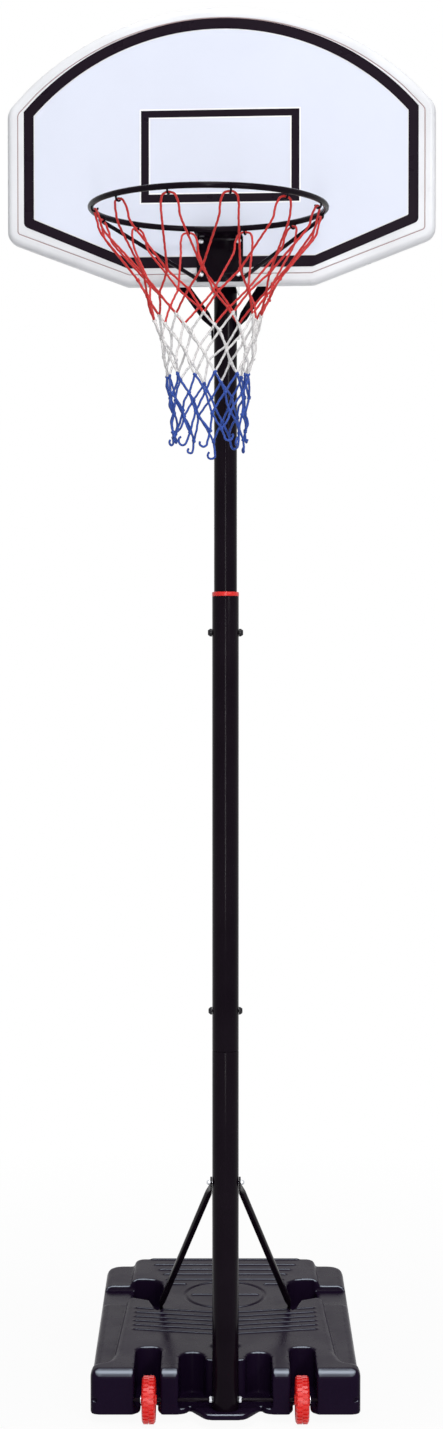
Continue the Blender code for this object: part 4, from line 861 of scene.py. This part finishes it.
cross_bolt("joint", JOINT_BOLT_Z, POLE_RADIUS + GAP, BIG_HEAD, DARK_PLASTIC, "base", POLE)
cross_bolt("strut", STRUT_BOLT_Z, POLE_RADIUS + 2 * GAP + STRUT_THICKNESS, SMALL_HEAD, ZINC, "base", POLE)
for side, tag, turn in SIDES:
    clamp_screw(tag, turn)


# Struts and head brackets


PLATE_FACE = BOARD_FRONT - GAP - STEEL_SHEET
PLATE_BOLT_LENGTH = 0.0449
PLATE_BOLT_HEIGHT = 0.004
PLATE_NUT_SIZE = 0.005

for side, tag, turn in SIDES:
    softened(f"strut_{tag}", BLACK, "base", width=0.0004)
    softened(f"strut_foot_screw_{tag}", DARK_PLASTIC, "base", width=0.0003)
    softened(f"v_brace_{tag}", BLACK, "head", width=0.0005)
    softened(f"v_brace_screw_{tag}", ZINC, "head", width=0.0003)
    softened(f"ring_brace_{tag}", BLACK, "head", width=0.0003)
softened("head_bracket", BLACK, "head", width=0.0006)
softened("ring_plate", BLACK, "head", width=0.0006)
BRACE_REACH = UPPER_POLE_RADIUS + 2 * GAP + BRACE_THICKNESS
cross_bolt("v_brace", V_BRACE_BOLT_Z, BRACE_REACH, SMALL_HEAD, ZINC, "head", HEAD)
BRACKET_REACH = UPPER_POLE_RADIUS + 2 * GAP + STEEL_SHEET
for row, height in BRACKET_BOLT_Z.items():
    cross_bolt(f"bracket_{row}", height, BRACKET_REACH, SMALL_HEAD, ZINC, "head", HEAD)
for row, drop in PLATE_BOLT_DROP.items():
    height = RING_HEIGHT - drop
    for side, tag, turn in SIDES:
        place = HEAD @ at(side * PLATE_BOLT_X, PLATE_FACE - GAP, height) @ TO_BACK
        bolt(f"ring_screw_{row}_{tag}", f"ring_bolt_{row}_{tag}", "head", place, PLATE_BOLT_LENGTH,
             SMALL_HEAD, PLATE_BOLT_HEIGHT, ZINC)
        behind = BOARD_BACK + 2 * GAP + STEEL_SHEET
        place = HEAD @ at(side * PLATE_BOLT_X, behind, height) @ TO_BACK
        nut(f"ring_lock_nut_{row}_{tag}", f"ring_nut_{row}_{tag}", "head", PLATE_NUT_SIZE, NUT_BORE,
            PLATE_NUT_SIZE, place)


# Board


ARC_STEPS = 48
ARC_CLEAR = 2
OUTLINE_ROUNDING = 6


def arched(half, side_low, flat_half, bottom, arc, arc_centre, low_round, high_round=0):
    """An outline with an arched top and cut lower corners, anticlockwise, as (x, z) in the board's plane."""
    side_high = arc_centre + math.sqrt(arc * arc - half * half)
    first = math.atan2(side_high - arc_centre, half)
    corners = [
        (-half, side_low, low_round), (-flat_half, bottom, low_round), (flat_half, bottom, low_round),
        (half, side_low, low_round), (half, side_high, high_round),
    ]
    for k in range(1, ARC_STEPS):
        angle = first + (math.pi - 2 * first) * k / ARC_STEPS
        if min(k, ARC_STEPS - k) > (ARC_CLEAR if high_round else 0):
            corners.append((arc * math.cos(angle), arc_centre + arc * math.sin(angle), 0))
    corners.append((-half, side_high, high_round))
    return rounded(corners, OUTLINE_ROUNDING)


def on_board(bm):
    """Turn (x, z, forward) prisms to stand on the board's front plane."""
    turn = Matrix(((1, 0, 0, 0), (0, 0, -1, BOARD_FRONT), (0, 1, 0, 0), (0, 0, 0, 1)))
    bmesh.ops.transform(bm, matrix=turn, verts=bm.verts)
    return bm


PRINT_LOW = -0.0002


def board_band(name, outer, inner, height, surface, low=PRINT_LOW):
    """A flat band between two outlines with as many points each."""
    bm = bmesh.new()
    loops = []
    for outline in (outer, inner):
        for z in (low, height):
            loops.append([bm.verts.new((x, y, z)) for x, y in outline])
    outer_low, outer_high, inner_low, inner_high = loops
    bridged(bm, outer_high, inner_high)
    bridged(bm, inner_low, outer_low)
    bridged(bm, outer_low, outer_high)
    bridged(bm, inner_high, inner_low)
    made(name, on_board(bm), surface, "head", (), HEAD)


def square(half, low, high, grow=0.0):
    """A rectangle in the board's plane, grown by that much on each side."""
    half, low, high = half + grow, low - grow, high + grow
    return [Vector((-half, low)), Vector((half, low)), Vector((half, high)), Vector((-half, high))]


BOARD_HALF = 0.450
BOARD_LOW = 2.462
BOARD_TALL = 0.578
BOARD_ARC = 0.590
BOARD_SIDE_LOW = 0.096
BOARD_FLAT_HALF = 0.196
BOARD_THICKNESS = 0.030
BOARD_SHEET = 0.006
BOARD_RIM = 0.012
BOARD_RIB = 0.008
BOARD_COLUMN = 0.120
BOARD_ROW = 0.130
BOARD_LOW_ROUND = 0.030
BOARD_HIGH_ROUND = 0.040
BOARD_LEAST_ROUND = 0.004
CELL_ROUND = 0.010
LEAST_CELL = BOARD_COLUMN * BOARD_ROW / 8
CUT_MARGIN = 0.01
LIP = 0.0135
LIP_STEPS = 8
LIP_FOOT = 0.0006
RIB_EDGE = 0.0010
RIB_EDGE_ANGLE = math.radians(70)
GROOVE = ((0.0212, 0), (0.0216, -0.0004), (0.0222, -0.0016), (0.0236, -0.0016), (0.0242, -0.0004),
          (0.0246, 0), (0.0300, 0))


def board_outline(inset):
    """The board's outline, drawn in by inset, as (x, z)."""
    slant = math.atan2(BOARD_SIDE_LOW, BOARD_HALF - BOARD_FLAT_HALF)
    side_low = BOARD_LOW + BOARD_SIDE_LOW - inset * (math.tan(slant) - 1 / math.cos(slant))
    flat_half = BOARD_FLAT_HALF - inset * math.tan(slant / 2)
    centre = BOARD_LOW + BOARD_TALL - BOARD_ARC
    lower = max(BOARD_LOW_ROUND - inset, BOARD_LEAST_ROUND)
    upper = max(BOARD_HIGH_ROUND - inset, BOARD_LEAST_ROUND)
    return arched(BOARD_HALF - inset, side_low, flat_half, BOARD_LOW + inset, BOARD_ARC - inset, centre,
                  lower, upper)


def clipped(polygon, outline):
    """The part of a convex polygon that lies inside a convex outline, both anticlockwise."""
    for i, start in enumerate(outline):
        edge = outline[(i + 1) % len(outline)] - start
        kept = []
        for k, point in enumerate(polygon):
            before = polygon[k - 1]
            side_before = edge.cross(before - start)
            side_here = edge.cross(point - start)
            if side_before * side_here < 0:
                kept.append(before + (point - before) * (side_before / (side_before - side_here)))
            if side_here >= 0:
                kept.append(point)
        polygon = kept
        if len(polygon) < 3:
            return []
    return polygon


def board_recesses():
    """The cells between the ribs on the board's back, with rounded corners."""
    rim = board_outline(BOARD_RIM)
    bm = bmesh.new()
    for column in range(-4, 5):
        for row in range(5):
            if column == 0 and row == 0:
                continue
            x = (column - 0.5) * BOARD_COLUMN + BOARD_RIB / 2
            z = BOARD_LOW + BOARD_RIM + row * BOARD_ROW + (BOARD_RIB / 2 if row else 0)
            far_x = x + BOARD_COLUMN - BOARD_RIB
            far_z = BOARD_LOW + BOARD_RIM + (row + 1) * BOARD_ROW - BOARD_RIB / 2
            whole = [Vector((x, z)), Vector((far_x, z)), Vector((far_x, far_z)), Vector((x, far_z))]
            cell = clipped(whole, rim)
            size = sum(a.cross(b) for a, b in zip(cell, cell[1:] + cell[:1])) / 2 if cell else 0
            if size < LEAST_CELL:
                continue
            if len(cell) == 4:
                cell = rounded([(p.x, p.y, CELL_ROUND) for p in cell])
            prism(cell, -BOARD_THICKNESS - CUT_MARGIN, -BOARD_SHEET, bm)
    return bm


def shape_board():
    """The board's moulded panel: a rounded lip, a groove inside it, and ribs behind."""
    profile = [(LIP_FOOT, -BOARD_THICKNESS), (0.0, -BOARD_THICKNESS + LIP_FOOT)]
    for k in range(LIP_STEPS + 1):
        turn = math.pi / 2 * k / LIP_STEPS
        profile.append((LIP * (1 - math.cos(turn)), -LIP * (1 - math.sin(turn))))
    profile += GROOVE
    bm = bmesh.new()
    loops = [[bm.verts.new((x, z, depth)) for x, z in board_outline(inset)] for inset, depth in profile]
    for here, beyond in zip(loops, loops[1:]):
        bridged(bm, here, beyond)
    bm.faces.new(list(reversed(loops[0])))
    bm.faces.new(loops[-1])
    bmesh.ops.recalc_face_normals(bm, faces=bm.faces)
    board = loose("raw_board", meshed("board", on_board(bm)))
    cells = board_recesses()
    bmesh.ops.recalc_face_normals(cells, faces=cells.faces)
    cutter = loose("raw_cells", meshed("cells", on_board(cells)))
    cut = board.modifiers.new("cells", "BOOLEAN")
    cut.object = cutter
    cut.solver = "EXACT"
    bevelled(board, RIB_EDGE, RIB_EDGE_ANGLE)
    bm = baked(board)
    bpy.data.objects.remove(cutter)
    made("board_panel", bm, BOARD_WHITE, "head", ("backboard",), HEAD)


BAND_OUTER = arched(half=0.414, side_low=2.5888, flat_half=0.1944, bottom=2.498, arc=0.550,
                    arc_centre=2.466, low_round=0.012)
BAND_INNER = arched(half=0.393, side_low=2.6027, flat_half=0.1990, bottom=2.5212, arc=0.529,
                    arc_centre=2.465, low_round=0.004)
PANEL = arched(half=0.3905, side_low=2.6040, flat_half=0.1985, bottom=2.5237, arc=0.5265,
               arc_centre=2.465, low_round=0.004)
TARGET_OUTER = (0.166, 2.6345, 2.826)
TARGET_INNER = (0.1495, 2.6515, 2.8115)
TARGET_EDGE = 0.003

shape_board()
groove = board_outline(0.0217), board_outline(0.0241)
# A darker pinkish-grey band laid on the floor of the board's groove
board_band("groove_band", *groove, height=-0.0009, surface=GROOVE_TINT, low=-0.0017)
board_band("print_band", BAND_OUTER, BAND_INNER, height=0.0004, surface=PRINT_BLACK)
made("print_panel", on_board(prism(PANEL, PRINT_LOW, 0.0003)), PRINT_BLUE, "head", (), HEAD)
edge = square(*TARGET_OUTER, TARGET_EDGE), square(*TARGET_INNER, -TARGET_EDGE)
board_band("print_target_edge", *edge, height=0.0005, surface=PRINT_WHITE)
target = square(*TARGET_OUTER), square(*TARGET_INNER)
board_band("print_target", *target, height=0.0006, surface=PRINT_BLACK)


# Ring and net


HOOK_RADIUS = 0.006
HOOK_WIRE = 0.0021
HOOK_START = 0.003
HOOK_DROP = 0.008
HOOK_CIRCLE = RING_RADIUS - HOOK_RADIUS
HOOK_TURN = math.pi * 1.05
HOOK_STEPS = 12
RING_STEPS = 180


def hook_angles():
    """Where the hooks are round the ring."""
    step = math.tau / HOOK_COUNT
    return [step * (k + 0.5) for k in range(HOOK_COUNT)]


def shape_ring():
    """The steel ring with a hooked wire for each loop of the net."""
    rod = []
    for k in range(RING_STEPS):
        angle = math.tau * k / RING_STEPS
        rod.append(Vector(around(1, angle, 0)) * RING_RADIUS)
    bm = sweep(rod, lambda i, angle: RING_ROD, closed=True)
    down = Vector((0, 0, -1))
    for angle in hook_angles():
        outward = Vector(around(1, angle, 0))
        points = [outward * RING_RADIUS + down * HOOK_START]
        for k in range(HOOK_STEPS + 1):
            bend = HOOK_TURN * k / HOOK_STEPS
            reach = HOOK_CIRCLE + HOOK_RADIUS * math.cos(bend)
            points.append(outward * reach + down * (HOOK_DROP + HOOK_RADIUS * math.sin(bend)))
        sweep(points, HOOK_WIRE, bm)
    made("hoop_ring", bm, BLACK, "head", ("ring",), RING, sharp=50)


shape_ring()


NET_FIRST_LEG = 0.130
NET_ROW = 0.038
NET_ROWS = 9
NET_NECK = 0.075
NET_TAPER = 0.360
NET_TAPER_POWER = 1.85
NET_TOP = -0.0095
CORD_RADIUS = 0.0022
CORD_STEP = 0.0025
STRAND_SWELL = 0.13
STRAND_TURN = 0.35


def net_radius(drop):
    """The net's radius at a drop below its top row."""
    share = max(0.0, 1 - drop / NET_TAPER)
    return NET_NECK + (HOOK_CIRCLE - NET_NECK) * share ** NET_TAPER_POWER


def curve_through(points):
    """Even points on a smooth curve through the given ones."""
    fine = []
    for i in range(len(points) - 1):
        p0 = points[max(i - 1, 0)]
        p1, p2 = points[i], points[i + 1]
        p3 = points[min(i + 2, len(points) - 1)]
        steps = max(int((p2 - p1).length / CORD_STEP), 2)
        for k in range(steps):
            t = k / steps
            fine.append(0.5 * (2 * p1 + (p2 - p0) * t + (2 * p0 - 5 * p1 + 4 * p2 - p3) * t * t
                               + (3 * p1 - p0 - 3 * p2 + p3) * t ** 3))
    fine.append(points[-1])
    return fine


def twisted(i, angle):
    """A three-strand cord's outline, turning as it goes."""
    return CORD_RADIUS * (1 + STRAND_SWELL * math.cos(3 * (angle - i * STRAND_TURN)))


def strand(bm, points):
    """Lay a twisted cord through points."""
    sweep(curve_through(points), twisted, bm)


LOOSE_START = 0.0015
LOOSE_STEP = 0.0011
LOOSE_MOST = 0.011
LOOSE_SHARE = 0.7


def net_rows(dice):
    """The net's knots, row by row; lower rows hang looser."""
    drops = [0.0] + [NET_FIRST_LEG + NET_ROW * row for row in range(NET_ROWS)]
    rows = []
    for level, drop in enumerate(drops):
        radius = net_radius(drop)
        loosen = min(LOOSE_START + LOOSE_STEP * level, LOOSE_MOST) if level else 0.0
        row = []
        for angle in hook_angles():
            angle += (level % 2) * math.pi / HOOK_COUNT
            r = radius + dice.uniform(-loosen, loosen) * LOOSE_SHARE
            angle += dice.uniform(-loosen, loosen) / radius
            z = NET_TOP - drop + dice.uniform(-loosen, loosen) * (LOOSE_SHARE if level > 1 else 0)
            row.append(Vector(around(r, angle, z)))
        rows.append(row)
    return rows


ARCH_HALF = (0.017, 0.021)
ARCH_LEAN = -0.35
ARCH = ((-1.04, 0.045), (-0.98, 0.022), (-0.72, 0.0055), (-0.25, 0.0006), (0.25, 0.0006), (0.72, 0.0055),
        (0.98, 0.022), (1.04, 0.045))


def net_arch(hook, angle, left, right, dice):
    """A stiff cord from a knot up over a hook and down to the next knot."""
    beside = Vector((-math.sin(angle), math.cos(angle), 0))
    half = dice.uniform(*ARCH_HALF)
    points = []
    for share, drop in ARCH:
        inward = Vector(around(1, angle, 0)) * drop * ARCH_LEAN
        points.append(hook + beside * half * share + inward - Vector((0, 0, drop)))
    return [left, left.lerp(points[0], 0.5), *points, points[-1].lerp(right, 0.5), right]


TAIL_LENGTH = (0.012, 0.030)
TAIL_CURL = (0.0045, 0.0085)
TAIL_TURNS = (0.45, 0.95)
TAIL_LEAN = (-0.004, 0.008)
TAIL_STEPS = 8
TAIL_OUT = 0.0006


def net_tail(start, dice):
    """A loose end that curls at its tip."""
    outward = Vector((start.x, start.y, 0)).normalized()
    beside = Vector((-outward.y, outward.x, 0)) * dice.choice((-1, 1))
    length = dice.uniform(*TAIL_LENGTH)
    size = dice.uniform(*TAIL_CURL)
    turns = dice.uniform(*TAIL_TURNS)
    lean = beside * dice.uniform(*TAIL_LEAN)
    centre = start + lean + beside * size - Vector((0, 0, length))
    points = [start, start.lerp(centre - beside * size, 0.55)]
    for step in range(TAIL_STEPS + 1):
        turn = math.pi + math.tau * turns * step / TAIL_STEPS
        points.append(centre + (beside * math.cos(turn) + Vector((0, 0, 1)) * math.sin(turn)) * size
                      + outward * TAIL_OUT * step)
    return points


KNOT = [
    (0, -0.0042, 0), (0.0030, -0.0036, 0.0008), (0.0040, -0.0018, 0.0006), (0.0035, 0, 0),
    (0.0040, 0.0018, 0.0006), (0.0030, 0.0036, 0.0008), (0, 0.0042, 0),
]
KNOT_TILT = 0.6
SLACK_START = 0.0012
SLACK_STEP = 0.0006
NET_SEED = 7
NET_ZONES = ("red", "red", "red", "white", "white", "white", "blue", "blue", "blue", "blue")


def shape_net():
    """The net: arches over the hooks, rows of diamonds and loose tails, in three colours of cord."""
    dice = random.Random(NET_SEED)
    rows = net_rows(dice)
    colours = {"red": bmesh.new(), "white": bmesh.new(), "blue": bmesh.new()}
    for k, angle in enumerate(hook_angles()):
        arch = net_arch(rows[0][k], angle, rows[1][k - 1], rows[1][k], dice)
        strand(colours["red"], arch)
    for level in range(1, NET_ROWS):
        for k, here in enumerate(rows[level]):
            for j in ((k, k + 1) if level % 2 else (k - 1, k)):
                below = rows[level + 1][j % HOOK_COUNT]
                middle = (here + below) / 2
                slack = SLACK_START + SLACK_STEP * level
                middle += Vector((middle.x, middle.y, 0)).normalized() * dice.uniform(-slack, slack)
                middle.z += dice.uniform(-slack, slack) * 0.5
                strand(colours[NET_ZONES[level]], [here, middle, below])
    for level in range(1, NET_ROWS + 1):
        for here in rows[level]:
            knot = turned(KNOT, 14)
            tilt = Matrix.Translation(here) @ Matrix.Rotation(dice.uniform(-KNOT_TILT, KNOT_TILT), 4, "X")
            tilt = tilt @ Matrix.Rotation(dice.uniform(-KNOT_TILT, KNOT_TILT), 4, "Y")
            bmesh.ops.transform(knot, matrix=tilt, verts=knot.verts)
            merge(colours[NET_ZONES[level]], knot)
    for here in rows[-1]:
        strand(colours["blue"], net_tail(here, dice))
    surfaces = {"red": CORD_RED, "white": CORD_WHITE, "blue": CORD_BLUE}
    for colour, bm in colours.items():
        made(f"net_{colour}", bm, surfaces[colour], "head", ("net",), RING, sharp=70)


shape_net()


# Nodes that keep their CAD shape


def repaint(node, surface):
    """Give a CAD node that stays visible a surface."""
    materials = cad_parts[node].data.materials
    materials.clear()
    materials.append(surface.material)


repaint("water_ballast", WATER)


# Floor, light and camera


FLOOR_SIZE = 40
FLOOR_DROP = 0.0002
FLOOR_GREY = (0.80, 0.80, 0.81, 1)
SHADOW_NEAR = 0.5
SHADOW_FAR = 2.5
SHADOW_WHITE = 0.94
SKY_LEVEL = 0.24


def shown_rays(tree):
    """1 for camera, glossy and transmission rays, and 0 for the rest."""
    rays = tree.nodes.new("ShaderNodeLightPath").outputs
    seen = rays["Is Camera Ray"]
    for kind in ("Is Glossy Ray", "Is Transmission Ray"):
        seen = added(tree, "Math", "Value", {0: seen, 1: rays[kind]}, operation="MAXIMUM")
    return seen


def floor():
    """A pale floor that keeps a soft shadow near the stand and is white further out."""
    bm = bmesh.new()
    bmesh.ops.create_grid(bm, x_segments=1, y_segments=1, size=FLOOR_SIZE)
    plane = loose("floor", meshed("floor", bm))
    plane.location = (0, 0, -FLOOR_DROP)
    material = bpy.data.materials.new("floor")
    material.use_nodes = True
    tree = material.node_tree
    tree.nodes.remove(tree.nodes["Principled BSDF"])
    matte = added(tree, "BsdfDiffuse", "BSDF", {"Color": FLOOR_GREY})
    white = added(tree, "Emission", "Emission", {"Strength": 1.0})
    place = added(tree, "TexCoord", "Object")
    length = added(tree, "VectorMath", "Value", {0: place}, operation="LENGTH")
    sockets = {"Value": length, "From Min": SHADOW_NEAR, "From Max": SHADOW_FAR, "To Min": SHADOW_WHITE}
    near = added(tree, "MapRange", "Result", sockets)
    share = added(tree, "Math", "Value", {0: near, 1: shown_rays(tree)}, operation="MULTIPLY")
    mix = added(tree, "MixShader", "Shader", {"Fac": share, 1: matte, 2: white})
    tree.links.new(mix, tree.nodes["Material Output"].inputs["Surface"])
    plane.data.materials.append(material)


def sky():
    """White to the camera and in reflections, and softer as a light."""
    world = bpy.data.worlds.new("studio")
    world.use_nodes = True
    tree = world.node_tree
    background = tree.nodes["Background"].inputs
    background["Color"].default_value = (1, 1, 1, 1)
    sockets = {"Value": shown_rays(tree), "To Min": SKY_LEVEL}
    strength = added(tree, "MapRange", "Result", sockets)
    tree.links.new(strength, background["Strength"])
    bpy.context.scene.world = world


def softbox(name, place, target, size, power, height=None):
    """A rectangular lamp, square without a height, turned to its target."""
    light = bpy.data.lights.new(name, "AREA")
    light.shape = "RECTANGLE"
    light.size = size
    light.size_y = height or size
    light.energy = power
    lamp = bpy.data.objects.new(name, light)
    bpy.context.collection.objects.link(lamp)
    lamp.location = place
    lamp.rotation_euler = (Vector(target) - Vector(place)).to_track_quat("-Z", "Y").to_euler()


SENSOR = 36
LENS_PIXELS = 2353.8
IMAGE_HEIGHT = 1429
PRINCIPAL_ROW = 724.25
CAMERA_PLACE = (-0.0087, -5.507, 1.693)
CAMERA_PITCH = 0.0307


def camera():
    """The photograph's view."""
    data = bpy.data.cameras.new("camera")
    data.sensor_width = SENSOR
    data.lens = SENSOR * LENS_PIXELS / IMAGE_HEIGHT
    data.shift_y = (PRINCIPAL_ROW - IMAGE_HEIGHT / 2) / IMAGE_HEIGHT
    data.clip_end = 200
    seen = bpy.data.objects.new("camera", data)
    bpy.context.collection.objects.link(seen)
    seen.location = CAMERA_PLACE
    seen.rotation_euler = (math.pi / 2 - CAMERA_PITCH, 0, 0)
    bpy.context.scene.camera = seen


floor()
sky()
softbox("key", place=(4.2, -7.5, 4.6), target=(0, -0.4, 1.6), size=1.6, power=175)
softbox("overhead", place=(0.2, -3.6, 7.6), target=(0, -0.5, 0.6), size=1.4, power=300, height=6.5)
softbox("front", place=(0.0, -6.3, 1.55), target=(0, -0.4, 1.55), size=0.25, power=80, height=2.9)
softbox("back", place=(0.0, 4.6, 3.2), target=(0, 0.0, 0.8), size=2.4, power=14)
camera()

view = bpy.context.scene.view_settings
view.view_transform = "Standard"
